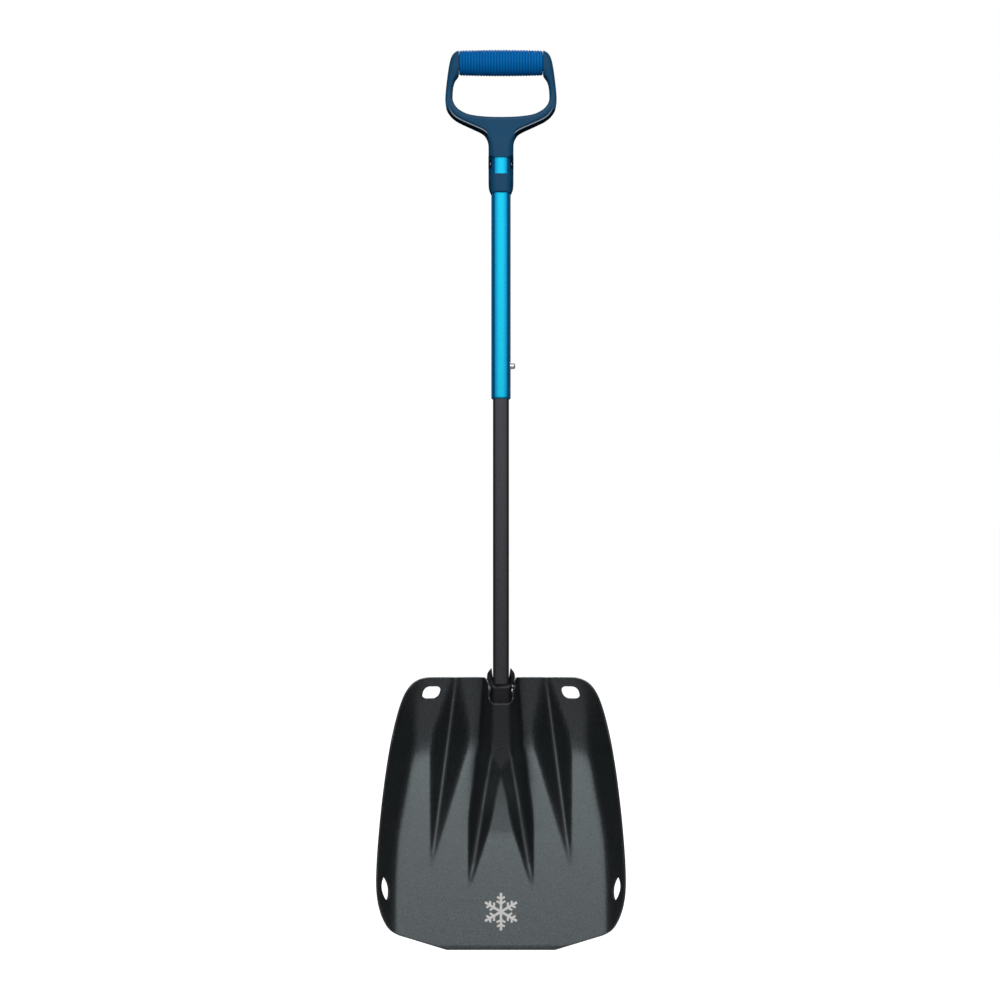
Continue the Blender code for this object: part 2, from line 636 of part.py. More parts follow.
def make_grip(parts, material, parent):
    """Moulded sleeve on the handle's bar, slightly fuller in the middle."""
    crown = 0.7 * MM
    stations = 12
    profile = []
    for i in range(stations + 1):
        share = -1 + 2 * i / stations
        end_round = 2.2 * MM * max(abs(share) - 0.83, 0) / 0.17
        profile.append((share * GRIP_HALF_LENGTH, GRIP_RADIUS - crown * share * share - end_round))
    profile += [(GRIP_HALF_LENGTH, GRIP_BORE_RADIUS), (-GRIP_HALF_LENGTH, GRIP_BORE_RADIUS)]
    grip = turned("grip_sleeve", profile, "X", (0, 0, GRIP_Z), parts, 24, closed=True)
    finish(grip, material, parent, (0, 0, GRIP_Z))


# ---------------------------------------------------------------- assembly
def make_empty(name, location, collection):
    empty = bpy.data.objects.new(name, None)
    empty.location = Vector(location)
    empty.empty_display_size = 20 * MM
    collection.objects.link(empty)
    return empty


def main():
    clear_scene()
    parts = make_collection("avalanche_shovel")
    cutters = make_collection("cutters")

    sheet_black = make_material("anodised_black_sheet", (0.085, 0.100, 0.104), 0.42, 0.65)
    tube_black = make_material("anodised_black_tube", (0.050, 0.048, 0.058), 0.45, 0.6)
    tube_blue = make_material("anodised_blue_tube", (0.010, 0.560, 0.800), 0.32, 0.8)
    navy = make_material("navy_plastic", (0.020, 0.068, 0.135), 0.5, 0.0)
    grip_blue = make_material("blue_grip", (0.004, 0.115, 0.360), 0.55, 0.0)
    black_plastic = make_material("black_plastic", (0.022, 0.021, 0.024), 0.5, 0.0)
    steel = make_material("bright_steel", (0.72, 0.72, 0.74), 0.2, 1.0)
    spring_steel = make_material("spring_steel", (0.30, 0.30, 0.32), 0.35, 1.0)

    blade_rest = make_empty("blade_origin", (0, 0, 0), parts)
    release_axis = make_empty("blade_release_axis", (0, 0, LOWER_BOTTOM), parts)
    telescope_axis = make_empty("telescope_axis", (0, 0, UPPER_BOTTOM), parts)

    make_blade(parts, cutters, sheet_black, blade_rest)
    make_sleeve(parts, cutters, black_plastic, blade_rest)
    make_bracket(parts, cutters, sheet_black, blade_rest)
    for name, z in zip(("bracket_rivet_lower", "bracket_rivet_upper"), RIVET_HEIGHTS):
        make_rivet(name, z, 12 * MM, BRACKET_MID_Y + SHEET / 2, 4 * MM, parts, steel, blade_rest)

    make_lower_tube(parts, cutters, tube_black, release_axis)
    make_plug("bottom_end_plug", LOWER_BOTTOM, 1, 8 * MM, parts, black_plastic, release_axis)
    make_plug("top_guide_plug", LOWER_TOP, -1, 8 * MM, parts, black_plastic, release_axis)
    for prefix, z in (("lower", LOWER_BUTTON_Z), ("upper", UPPER_BUTTON_Z)):
        make_button(f"{prefix}_button", z, parts, steel, release_axis)
        make_spring(f"{prefix}_leaf_spring", z, parts, spring_steel, release_axis)

    make_upper_tube(parts, cutters, tube_blue, telescope_axis)
    make_handle(parts, cutters, navy, telescope_axis)
    make_grip(parts, grip_blue, telescope_axis)
    make_rivet("handle_rivet", HANDLE_RIVET_Z, 12.1 * MM, CORE_HALF_DEPTH + NECK_OUTER, 4.2 * MM,
               parts, steel, telescope_axis)


main()
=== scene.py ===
"""Looks of the avalanche shovel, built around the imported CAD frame.

Every size below is in metres and in the CAD's frame: +X towards the snap buttons, +Y out of the
blade's back, +Z up the shaft.  Lengths and tables written in millimetres are times MM.
"""
import math

import bmesh
import bpy
import numpy as np
from mathutils import Matrix, Vector
from mathutils.geometry import delaunay_2d_cdt


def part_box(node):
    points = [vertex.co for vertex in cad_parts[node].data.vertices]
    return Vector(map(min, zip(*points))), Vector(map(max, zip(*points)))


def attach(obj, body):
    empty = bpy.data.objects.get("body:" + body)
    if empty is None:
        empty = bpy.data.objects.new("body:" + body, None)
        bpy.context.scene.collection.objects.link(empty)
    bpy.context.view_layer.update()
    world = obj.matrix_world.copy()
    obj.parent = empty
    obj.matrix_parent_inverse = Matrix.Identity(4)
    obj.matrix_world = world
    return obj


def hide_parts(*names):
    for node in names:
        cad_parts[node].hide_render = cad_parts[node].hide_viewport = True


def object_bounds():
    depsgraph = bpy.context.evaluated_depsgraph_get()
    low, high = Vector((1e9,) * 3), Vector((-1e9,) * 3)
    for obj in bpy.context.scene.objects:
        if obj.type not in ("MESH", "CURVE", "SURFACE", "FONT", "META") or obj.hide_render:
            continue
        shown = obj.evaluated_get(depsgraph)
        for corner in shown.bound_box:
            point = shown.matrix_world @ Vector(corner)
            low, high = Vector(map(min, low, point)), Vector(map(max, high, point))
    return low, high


MM = 0.001
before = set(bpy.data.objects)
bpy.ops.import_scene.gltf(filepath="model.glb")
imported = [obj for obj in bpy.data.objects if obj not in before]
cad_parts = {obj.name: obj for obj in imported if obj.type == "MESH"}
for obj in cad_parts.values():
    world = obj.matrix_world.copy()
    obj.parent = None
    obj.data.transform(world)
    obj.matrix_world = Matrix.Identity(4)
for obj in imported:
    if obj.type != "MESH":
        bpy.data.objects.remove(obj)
cad_low, cad_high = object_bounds()

# ---------------- places, from the frame
BLADE_TOP = 281 * MM
LOWER_BOTTOM, LOWER_TOP = (corner.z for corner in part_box("lower_tube"))
UPPER_BOTTOM, UPPER_TOP = (corner.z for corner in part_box("upper_tube"))
SLEEVE_BOTTOM, SLEEVE_TOP = (corner.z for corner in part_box("socket_sleeve"))
NECK_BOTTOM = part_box("handle_frame")[0].z
BRACKET_BOTTOM, BRACKET_TOP = (corner.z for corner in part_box("rear_bracket"))


def middle(node):
    low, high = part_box(node)
    return (low + high) / 2


LOWER_BUTTON_Z = middle("lower_button").z
UPPER_BUTTON_Z = middle("upper_button").z
GRIP_Z = middle("grip_sleeve").z
GRIP_HALF_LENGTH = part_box("grip_sleeve")[1].x
HANDLE_RIVET_Z = middle("handle_rivet").z
RIVET_HEIGHTS = [middle(f"bracket_rivet_{name}").z for name in ("lower", "upper")]
STOWED_HOLE_Z = 811 * MM

# ---------------- shapes shared by several pieces
CORE_FRONT_HALF, CORE_REAR_HALF, CORE_HALF_DEPTH = 5.6 * MM, 6.3 * MM, 9.1 * MM
GAP = 0.3 * MM
SHEET = 2.0 * MM


def section(radius):
    """Points of the shaft's rounded-trapezoid section grown by radius, anticlockwise from above."""
    steps = 14
    lean = math.atan2(CORE_REAR_HALF - CORE_FRONT_HALF, 2 * CORE_HALF_DEPTH)
    corners = [
        (CORE_FRONT_HALF, -CORE_HALF_DEPTH, -math.pi / 2, -lean),
        (CORE_REAR_HALF, CORE_HALF_DEPTH, -lean, math.pi / 2),
        (-CORE_REAR_HALF, CORE_HALF_DEPTH, math.pi / 2, math.pi + lean),
        (-CORE_FRONT_HALF, -CORE_HALF_DEPTH, math.pi + lean, 1.5 * math.pi),
    ]
    points = []
    for x, y, start, end in corners:
        for i in range(steps + 1):
            angle = start + (end - start) * i / steps
            points.append((x + radius * math.cos(angle), y + radius * math.sin(angle)))
    return points


def in_metres(points, side=1):
    """Pairs given in millimetres; side -1 mirrors them."""
    return [(side * a * MM, b * MM) for a, b in points]


def collection_for(name):
    made = bpy.data.collections.new(name)
    bpy.context.scene.collection.children.link(made)
    return made


LOOKS = collection_for("looks")
TOOLS = collection_for("tools")


def add_mesh(name, mesh, group):
    obj = bpy.data.objects.new(name, mesh)
    group.objects.link(obj)
    return obj


def mesh_object(name, bm, group=LOOKS):
    mesh = bpy.data.meshes.new(name)
    bm.to_mesh(mesh)
    bm.free()
    return add_mesh(name, mesh, group)


def skin(name, rings, hollow=False, group=LOOKS):
    """Join rings of points by quads.  A hollow skin closes on itself, a solid one gets caps."""
    bm = bmesh.new()
    loops = [[bm.verts.new(point) for point in ring] for ring in rings]
    pairs = list(zip(loops, loops[1:]))
    if hollow:
        pairs.append((loops[-1], loops[0]))
    for low, high in pairs:
        for i in range(len(low)):
            j = (i + 1) % len(low)
            bm.faces.new((low[i], low[j], high[j], high[i]))
    if not hollow:
        bm.faces.new(reversed(loops[0]))
        bm.faces.new(loops[-1])
    bmesh.ops.recalc_face_normals(bm, faces=bm.faces)
    return mesh_object(name, bm, group)


def loft(name, rings, hollow=False, group=LOOKS):
    """The shaft's section along Z, from rings of (z, growth radius)."""
    return skin(name, [[(x, y, z) for x, y in section(radius)] for z, radius in rings], hollow, group)


def rounded_tube(bottom, top, outer, inner, chamfer):
    """Rings of a tube whose outer rims are rounded."""
    rim = [(chamfer * (1 - math.sin(a)), chamfer * (1 - math.cos(a)))
           for a in (0, math.pi / 6, math.pi / 3, math.pi / 2)]
    low = [(bottom + rise, outer - back) for rise, back in rim]
    high = [(top - rise, outer - back) for rise, back in reversed(rim)]
    return low + high + [(top, inner), (bottom, inner)]


def turned(name, profile, axis, location, steps=48):
    """Turn an outline of (distance along the axis, radius) points about an axis."""
    on_x = axis == "X"
    bm = bmesh.new()
    verts = [bm.verts.new((reach, 0, radius) if on_x else (radius, reach, 0)) for reach, radius in profile]
    edges = [bm.edges.new(pair) for pair in zip(verts, verts[1:])]
    if profile[0][1] > 0 and profile[-1][1] > 0:
        edges.append(bm.edges.new((verts[-1], verts[0])))
    bmesh.ops.spin(bm, geom=verts + edges, cent=(0, 0, 0), axis=(1, 0, 0) if on_x else (0, 1, 0),
                   angle=math.tau, steps=steps, use_merge=True)
    bmesh.ops.remove_doubles(bm, verts=bm.verts, dist=0.01 * MM)
    bmesh.ops.recalc_face_normals(bm, faces=bm.faces)
    obj = mesh_object(name, bm)
    obj.location = location
    return obj


def primitive(name, create, **settings):
    """A tool made by one of bmesh's functions for basic shapes."""
    bm = bmesh.new()
    create(bm, **settings)
    return mesh_object(name, bm, TOOLS)


def cylinder(name, radius, start, end, segments):
    """A tool cylinder from start to end."""
    start, end = Vector(start), Vector(end)
    obj = primitive(name, bmesh.ops.create_cone, cap_ends=True, segments=segments, radius1=radius,
                    radius2=radius, depth=(end - start).length)
    obj.rotation_euler = (end - start).to_track_quat("Z", "Y").to_euler()
    obj.location = (start + end) / 2
    return obj


def cut(obj, tool, operation="DIFFERENCE"):
    """Cut a tool's shape out of an object, or join it on with the operation UNION."""
    modifier = obj.modifiers.new("cut", "BOOLEAN")
    modifier.operation = operation
    modifier.object = tool
    modifier.solver = "EXACT"
    tool.hide_render = tool.hide_viewport = True


def apply_modifiers(obj):
    """Replace the object's mesh by its evaluated one, and drop the modifiers."""
    bpy.context.view_layer.update()
    graph = bpy.context.evaluated_depsgraph_get()
    mesh = bpy.data.meshes.new_from_object(obj.evaluated_get(graph))
    obj.modifiers.clear()
    obj.data = mesh


def merge_slivers(obj):
    """Close up the needle-thin faces that boolean cuts leave."""
    distance = 0.01 * MM
    bm = bmesh.new()
    bm.from_mesh(obj.data)
    bmesh.ops.remove_doubles(bm, verts=bm.verts, dist=distance)
    bmesh.ops.dissolve_degenerate(bm, dist=distance, edges=bm.edges)
    bm.to_mesh(obj.data)
    bm.free()


def thicken(obj, thickness, even=True, group=""):
    """Give a sheet its thickness, half on either side."""
    modifier = obj.modifiers.new("thickness", "SOLIDIFY")
    modifier.thickness = thickness
    modifier.offset = 0
    modifier.use_even_offset = even
    modifier.vertex_group = group


def vertex_columns(obj):
    """A mesh's vertices as three arrays x, y and z."""
    values = np.empty(3 * len(obj.data.vertices))
    obj.data.vertices.foreach_get("co", values)
    return values.reshape(-1, 3).T


def set_painted_light(obj, tone):
    """Store for each vertex its painted light: how much paler (painted highlight) or darker (painted shade)
    its material is drawn.
    """
    layer = obj.data.attributes.new("tone", "FLOAT", "POINT")
    layer.data.foreach_set("value", np.asarray(tone, np.float32))


def smooth(obj, angle):
    obj.data.shade_smooth()
    obj.data.set_sharp_from_angle(angle=math.radians(angle))


def bevel(obj, width, segments, smooth_angle):
    """Apply the modifiers so far, break the sharp edges and shade the rest smooth."""
    apply_modifiers(obj)
    modifier = obj.modifiers.new("edge", "BEVEL")
    modifier.width = width
    modifier.segments = segments
    modifier.limit_method = "ANGLE"
    modifier.angle_limit = math.radians(60)
    modifier.harden_normals = False
    apply_modifiers(obj)
    smooth(obj, smooth_angle)


def settle(obj, material, body, *nodes, slot=None):
    """Finish a piece: its material, the body it rides on, the CAD nodes it stands for."""
    obj.data.materials.clear()
    obj.data.materials.append(material)
    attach(obj, body)
    if nodes:
        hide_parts(*nodes)


# ---------------- flat regions, then bent or inflated
def resample(points, spacing):
    """A closed loop with its corners kept and its long stretches divided evenly."""
    loop = []
    for start, end in zip(points, points[1:] + points[:1]):
        length = math.dist(start, end)
        count = max(1, round(length / spacing))
        for i in range(count):
            share = i / count
            loop.append((start[0] + (end[0] - start[0]) * share,
                         start[1] + (end[1] - start[1]) * share))
    return loop


def smooth_path(points, steps):
    """A Catmull-Rom curve through the points, ends included."""
    ends = [points[0], *points, points[-1]]
    path = []
    for a, b, c, d in zip(ends, ends[1:], ends[2:], ends[3:]):
        for i in range(steps):
            t = i / steps
            path.append(tuple(
                0.5 * (2 * b[k] + (c[k] - a[k]) * t + (2 * a[k] - 5 * b[k] + 4 * c[k] - d[k]) * t * t
                       + (3 * b[k] - 3 * c[k] + d[k] - a[k]) * t ** 3) for k in (0, 1)))
    return path + [tuple(points[-1])]


def arc(centre, radius, start, end, steps):
    """Points of an arc, angles in degrees, anticlockwise when end is larger."""
    angles = [math.radians(start + (end - start) * i / steps) for i in range(steps + 1)]
    return [(centre[0] + radius * math.cos(a), centre[1] + radius * math.sin(a)) for a in angles]


def rounded_box(width, height, radius, centre, steps):
    """A rounded rectangle as a closed loop."""
    loop = []
    for quarter, (sx, sz) in enumerate(((1, 1), (-1, 1), (-1, -1), (1, -1))):
        middle_of = (centre[0] + sx * (width / 2 - radius), centre[1] + sz * (height / 2 - radius))
        loop += arc(middle_of, radius, 90 * quarter, 90 * quarter + 90, steps)
    return loop


def distance_to_path(points, path):
    """Distance of each point to a line through a path's points."""
    path = np.array(path)
    best = np.full(len(points), np.inf)
    for start, end in zip(path, path[1:]):
        side = end - start
        length = max(float(side @ side), 1e-16)
        share = np.clip((points - start) @ side / length, 0, 1)
        gap = points - start - share[:, None] * side
        best = np.minimum(best, np.hypot(gap[:, 0], gap[:, 1]))
    return best


def distance_to_loops(points, loops):
    """Distance of each point to the nearest edge of any closed loop."""
    return np.min([distance_to_path(points, [*loop, loop[0]]) for loop in loops], axis=0)


def inside_loop(points, loop):
    """Which points lie inside a closed loop, by counting the edges to their right."""
    inside = np.zeros(len(points), bool)
    x, z = points.T
    for (x1, z1), (x2, z2) in zip(loop, loop[1:] + loop[:1]):
        if z1 != z2:
            crosses = (z1 > z) != (z2 > z)
            inside ^= crosses & (x < x1 + (z - z1) * (x2 - x1) / (z2 - z1))
    return inside


ONLY_INSIDE = 1


def triangulate(loops, inner):
    """Triangles of the region inside the first loop and outside the others, through inner points."""
    verts, edges = [], []
    for loop in loops:
        base = len(verts)
        verts += loop
        edges += [(base + i, base + (i + 1) % len(loop)) for i in range(len(loop))]
    verts += [tuple(point) for point in inner]
    made = delaunay_2d_cdt([Vector(v) for v in verts], edges, [], ONLY_INSIDE, 1e-8)
    flat = np.array([tuple(point) for point in made[0]])
    faces = np.array([list(face) for face in made[2]])
    centres = flat[faces].mean(axis=1)
    for loop in loops[1:]:
        outside = ~inside_loop(centres, loop)
        faces, centres = faces[outside], centres[outside]
    return [tuple(point) for point in flat], faces.tolist()


def sheet_mesh(name, flat_points, faces, depth):
    """A bent sheet: each flat (x, z) point goes to depth y."""
    mesh = bpy.data.meshes.new(name)
    mesh.from_pydata([(x, y, z) for (x, z), y in zip(flat_points, depth)], [], faces)
    mesh.validate()
    return add_mesh(name, mesh, LOOKS)


# ---------------- blade
BEND_Z, BEND_DEPTH, BACK_WALL_SLOPE = 215 * MM, 22 * MM, 0.34
RIB_SLOPE_OUT, RIB_SLOPE_IN = 1.12, 0.88
RIB_LOW, RIB_HIGH = 100 * MM, 279 * MM
RIDGE_LOW, RIDGE_HIGH = 74 * MM, 205 * MM
CREST_HALF, CREST_REACH = 0.9 * MM, 0.35 * MM
SKIRT_RISE, SKIRT_REACH = 2.2 * MM, 6 * MM
HUMP_FACE_Y, HUMP_LEAN = -15.5 * MM, 0.18

# Side edge of the blade, (half width, height) in millimetres, from the tip's corner to the top.
TIP_HALF = 55.8
SIDE_EDGE = [(104.5, 14.6), (109.5, 17), (114, 21), (118.3, 28), (122.6, 39), (125.8, 53),
             (127.2, 70), (126.6, 95), (124.4, 125), (121.3, 155), (117, 188), (111.5, 220),
             (105.8, 244), (100.8, 259), (96.2, 268), (91, 274.4), (84.5, 278.6), (77, 280.7),
             (69, 281)]
# Feature lines of the stamping, right half: (height, distance from the centre) in millimetres.
RIDGE_LINE = [(0, 43), (74, 31), (205, 9.9), (281, 9.9)]
RIDGE_FOOT = [(0, 46), (77, 33.5), (134, 30.5), (196, 25.5), (216, 23), (249, 20), (281, 18)]
RIB_FOOT_IN = [(0, 76), (100, 67), (154, 54), (196, 41), (226, 36), (257, 39), (281, 45)]
RIB_LINE = [(0, 83), (100, 70), (265, 48.2), (281, 46.5)]
RIB_FOOT_OUT = [(0, 88), (100, 73), (173, 72), (226, 68), (257, 58), (281, 52)]
WALL_FOOT = [(0, 112), (64, 112), (92, 111), (113, 109.5), (134, 106.5), (154, 102.5), (191, 96),
             (212, 92), (236, 90), (257, 87), (281, 79)]
WALL_FILLET = [(0, 3.5), (190, 3.5), (240, 8), (281, 10)]
# How steeply the hump and the inner ridges fall away outwards, and the ridges inwards, by height.
FLANK_SLOPE = [(74, 1.5), (134, 1.7), (154, 2.0), (170, 2.4), (198, 2.6), (216, 3.3), (237, 3.5),
               (257, 3.8), (281, 4.2)]
INNER_SLOPE = [(74, 1.5), (134, 1.65), (154, 1.85), (170, 1.6), (178, 1.25), (187, 0.75), (205, 0.35)]
WALL_STEEPNESS = [(0, 1.6), (215, 1.6), (245, 1.1), (281, 0.7)]
# The hump's middle, (height, depth) in millimetres: a foot that runs out between the ridges.
HUMP_MIDDLE = [(95, 18), (110, 16.3), (120, 15.2), (130, 14.4), (140, 13.7), (150, 12.6), (160, 10.9),
               (170, 8.3), (178, 5), (185, 0.6), (191, -4.6), (197, -10.2), (203, -14.8),
               (208, -16), (214, -16.9)]


def along(line, z):
    """A feature line's value at heights z, all in millimetres, eased where the line turns."""
    heights, values = np.array(line, float).T
    reach = 6.0
    offsets = np.linspace(-reach, reach, 7)
    return np.mean([np.interp(np.asarray(z) + offset, heights, values) for offset in offsets], axis=0)


def ramp(value, length):
    """0 below value 0, then rising evenly to 1 at length."""
    return np.clip(value / length, 0, 1)


def bell(value, width):
    """1 at value 0, fading to both sides."""
    return np.exp(-(value / width) ** 2)


def eased(value, reach):
    """0 below value 0 and the value above it, with the turn rounded."""
    return 0.5 * (value + np.hypot(value, reach))


def soft_min(a, b, reach):
    """The smaller of two depths, with the corner between them rounded."""
    blend = np.maximum(reach - np.abs(a - b), 0) / reach
    return np.minimum(a, b) - blend * blend * reach / 4


def floor_depth(z, x=0.1):
    """Depth of the plain scoop: a floor that meets a back wall leaning forward."""
    wall = z - BEND_Z - 7 * MM * bell(x, 48 * MM)
    return soft_min(BEND_DEPTH * z / BEND_Z, BEND_DEPTH - BACK_WALL_SLOPE * wall, 8 * MM)


def crest(offset):
    """Distance down a ridge's flank, zero over its narrow flat top, with a rounded start."""
    return eased(np.abs(offset) - CREST_HALF, CREST_REACH)


def chord(z, low, high):
    """Depths of the straight line between two (height, depth) points."""
    return low[1] + (z - low[0]) / (high[0] - low[0]) * (high[1] - low[1])


def blade_depth(x, z):
    """Mid-plane depth y of the stamped sheet at arrays x and z; smaller is nearer the front."""
    side, z_mm = np.abs(x), z / MM
    depth = floor_depth(z, x)
    out = side - along(WALL_FOOT, z_mm) * MM
    depth = depth - along(WALL_STEEPNESS, z_mm) * eased(out, along(WALL_FILLET, z_mm) * MM)
    # a shallow skirt leads from the scoop up to the hump's steep flanks
    toe = np.maximum(side - along(RIDGE_FOOT, z_mm) * MM, 0)
    depth = depth - SKIRT_RISE * np.exp(-toe / SKIRT_REACH) * ramp(z_mm - 120, 60)

    line = chord(z, (RIB_LOW, floor_depth(RIB_LOW)), (RIB_HIGH, floor_depth(RIB_HIGH)))
    off_line = side - along(RIB_LINE, z_mm) * MM
    slope = np.where(off_line > 0, RIB_SLOPE_OUT, RIB_SLOPE_IN)
    softness = np.interp(z_mm, (190, 260), (3.5, 6.5)) * MM
    depth = soft_min(depth, line + slope * crest(off_line), softness)

    flank = along(FLANK_SLOPE, z_mm)
    lean = HUMP_LEAN * np.maximum(z - 212 * MM, 0)
    face = along(HUMP_MIDDLE, z_mm) * MM - lean
    beyond = side - along(RIDGE_LINE, z_mm) * MM
    depth = soft_min(depth, face + flank * eased(beyond, 0.9 * MM), 4.5 * MM)

    line = chord(z, (RIDGE_LOW, floor_depth(RIDGE_LOW)), (RIDGE_HIGH, HUMP_FACE_Y))
    slope = np.where(beyond > 0, flank, along(INNER_SLOPE, z_mm))
    fade = ramp(z_mm - 190, 40) ** 2 * 5 * MM
    top = np.where(z < RIDGE_HIGH, line, HUMP_FACE_Y - HUMP_LEAN * (z - RIDGE_HIGH))
    ridge = top + slope * crest(beyond) + fade
    return soft_min(depth, ridge, 3.5 * MM)


def blade_painted_light(x, z):
    """Painted light on the sheet at arrays x and z: painted highlights along the rib and ridge crests, in
    the valley and on the inner flanks (above 0), painted shade on the hump's face (below 0).
    """
    side, z_mm = np.abs(x), z / MM
    on_rib = bell(side - along(RIB_LINE, z_mm) * MM, 1.2 * MM)
    rib_ends = ramp(z_mm - 96, 12) * ramp(228 - z_mm, 35)
    to_ridge = side - along(RIDGE_LINE, z_mm) * MM
    on_ridge = bell(to_ridge, 1.2 * MM)
    ridge_ends = ramp(z_mm - 72, 12) * ramp(206 - z_mm, 40)
    on_hump = ramp(-to_ridge, 3 * MM) * ramp(z_mm - 175, 30)
    on_inner_flank = ramp(-to_ridge, 3 * MM) * bell(z_mm - 166, 30)
    in_valley = ramp(-to_ridge, 6 * MM) * bell(z_mm - 162, 22)
    return (0.5 * on_rib * rib_ends + on_ridge * ridge_ends - 0.5 * on_hump
            + 0.25 * in_valley + 0.16 * on_inner_flank)


def side_half_width(z):
    """Half width of the blade at heights z, for placing the inner points."""
    edge = [(0.0, TIP_HALF), *[(z_mm, x) for x, z_mm in SIDE_EDGE]]
    heights, widths = np.array(edge).T
    return np.interp(z / MM, heights, widths) * MM


def blade_inner_points():
    """Points along the feature lines and evenly between them, both sides of the centre."""
    points = []
    spacing, crest_half = 1.6 * MM, 1.25 * MM
    for z in np.arange(0.9 * MM, BLADE_TOP, spacing):
        z_mm = z / MM
        edge = side_half_width(z)
        lines = [0, edge]
        for line in (RIDGE_FOOT, RIB_FOOT_IN, RIB_FOOT_OUT, WALL_FOOT, RIDGE_LINE, RIB_LINE):
            lines.append(float(along(line, z_mm)) * MM)
        lines += [crest_x + side * crest_half for crest_x in lines[-2:] for side in (-1, 1)]
        lines = sorted(min(value, edge) for value in lines)
        for start, end in zip(lines, lines[1:]):
            count = max(1, round(abs(end - start) / spacing))
            for i in range(count):
                x = start + (end - start) * i / count
                points += [(x, z), (-x, z)] if x > 0 else [(0.0, z)]
    return np.array(points)


def blade_outline():
    """The blade's edge, anticlockwise from the tip, with the notch over the sleeve."""
    right = [(TIP_HALF * MM, 0.0)] + smooth_path(in_metres(SIDE_EDGE), 6)
    notch_low, narrow, corner, wing = 256 * MM, 11.9 * MM, 5.5 * MM, 3.1 * MM
    wing_z = BLADE_TOP - wing
    centre_z = notch_low + corner
    # right side: round the wing, out past the button's tip, then down to the notch's corner
    beside_button = [(13.4, 277.2), (13.6, 275.6), (13.9, 273.8), (13.8, 271.8), (13.1, 270),
                     (12.2, 268.4), (11.9, 266.6), (11.9, 263.6)]
    right_notch = (
        arc((16.5 * MM, wing_z), wing, 90, 185, 7)
        + smooth_path(in_metres(beside_button), 3)
        + arc((narrow - corner, centre_z), corner, 0, -90, 8))
    beside_mouth = [(11.9, 263), (11.95, 267), (12.1, 271), (12.5, 274.4), (13.1, 276.6), (13.8, 278)]
    left_notch = (
        arc((-(narrow - corner), centre_z), corner, -90, -180, 8)
        + smooth_path(in_metres(beside_mouth, -1), 3)
        + arc((-17.2 * MM, wing_z), wing, 15, 90, 6))
    left = [(-x, z) for x, z in reversed(right)]
    return right + right_notch + left_notch + left


# The lower lashing hole as its wall shows it from the front, (half width, height) in millimetres.
LOWER_HOLE = [(121.2, 76), (122.9, 69.5), (122.4, 62.5), (120, 55.2), (117.6, 52.2), (116.2, 56),
              (116, 63), (117.2, 69), (119.4, 74.4)]


def blade_holes():
    """Lashing holes as they lie in the flat pattern seen from the front."""
    holes = []
    skew, steps = 0.3, 5
    upper = rounded_box(17.6 * MM, 12.8 * MM, 5.4 * MM, (0, 0), 8)
    closed = [LOWER_HOLE[-1], *LOWER_HOLE, *LOWER_HOLE[:2]]
    for side in (-1, 1):
        holes.append([(side * (71.9 * MM + x - skew * z), 265.2 * MM + z) for x, z in upper])
        holes.append(smooth_path(in_metres(closed, side), steps)[steps:-steps - 1])
    return holes


def make_blade(material):
    outline = resample(blade_outline(), 1.3 * MM)
    holes = [resample(hole, 1.0 * MM) for hole in blade_holes()]
    inner = blade_inner_points()
    clear = distance_to_loops(inner, [outline, *holes]) > 0.8 * MM
    flat, faces = triangulate([outline, *holes], inner[clear])
    x, z = np.array(flat).T
    blade = sheet_mesh("blade_sheet", flat, faces, blade_depth(x, z))
    # painted highlights and painted shade, stored on the sheet's vertices
    set_painted_light(blade, blade_painted_light(x, z))

    # thinner towards the cutting edge, where the tip is ground
    group = blade.vertex_groups.new(name="thickness")
    ground, thinnest = 4.2 * MM, 0.4
    for index, height in enumerate(z):
        share = float(np.clip(thinnest + (1 - thinnest) * height / ground, thinnest, 1))
        group.add([index], share, "REPLACE")
    thicken(blade, SHEET, group="thickness")
    bevel(blade, 0.45 * MM, 2, 50)
    blade.vertex_groups.clear()
    settle(blade, material, "blade", "blade_shell", slot="blade_sheet")


# ---------------- sleeve, bracket, fastenings
SLEEVE_INNER, SLEEVE_OUTER = 2.7 * MM, 4.9 * MM
SLEEVE_LIP_Z = 271.5 * MM
MOUTH_SLANT = 56
BUTTON_HOLE_RADIUS = 3.7 * MM
RIVET_BORE_RADIUS = 2.3 * MM


def button_hole(obj, z, reach=20 * MM, segments=64):
    """Cut a snap button's hole in a piece's right wall."""
    cut(obj, cylinder("cut_button_hole", BUTTON_HOLE_RADIUS, (4 * MM, 0, z), (reach, 0, z), segments))


def rivet_hole(obj, z, reach=20 * MM):
    """Cut a rivet's hole in a piece's rear wall."""
    cut(obj, cylinder("cut_rivet_hole", RIVET_BORE_RADIUS, (0, 5 * MM, z), (0, reach, z), 24))


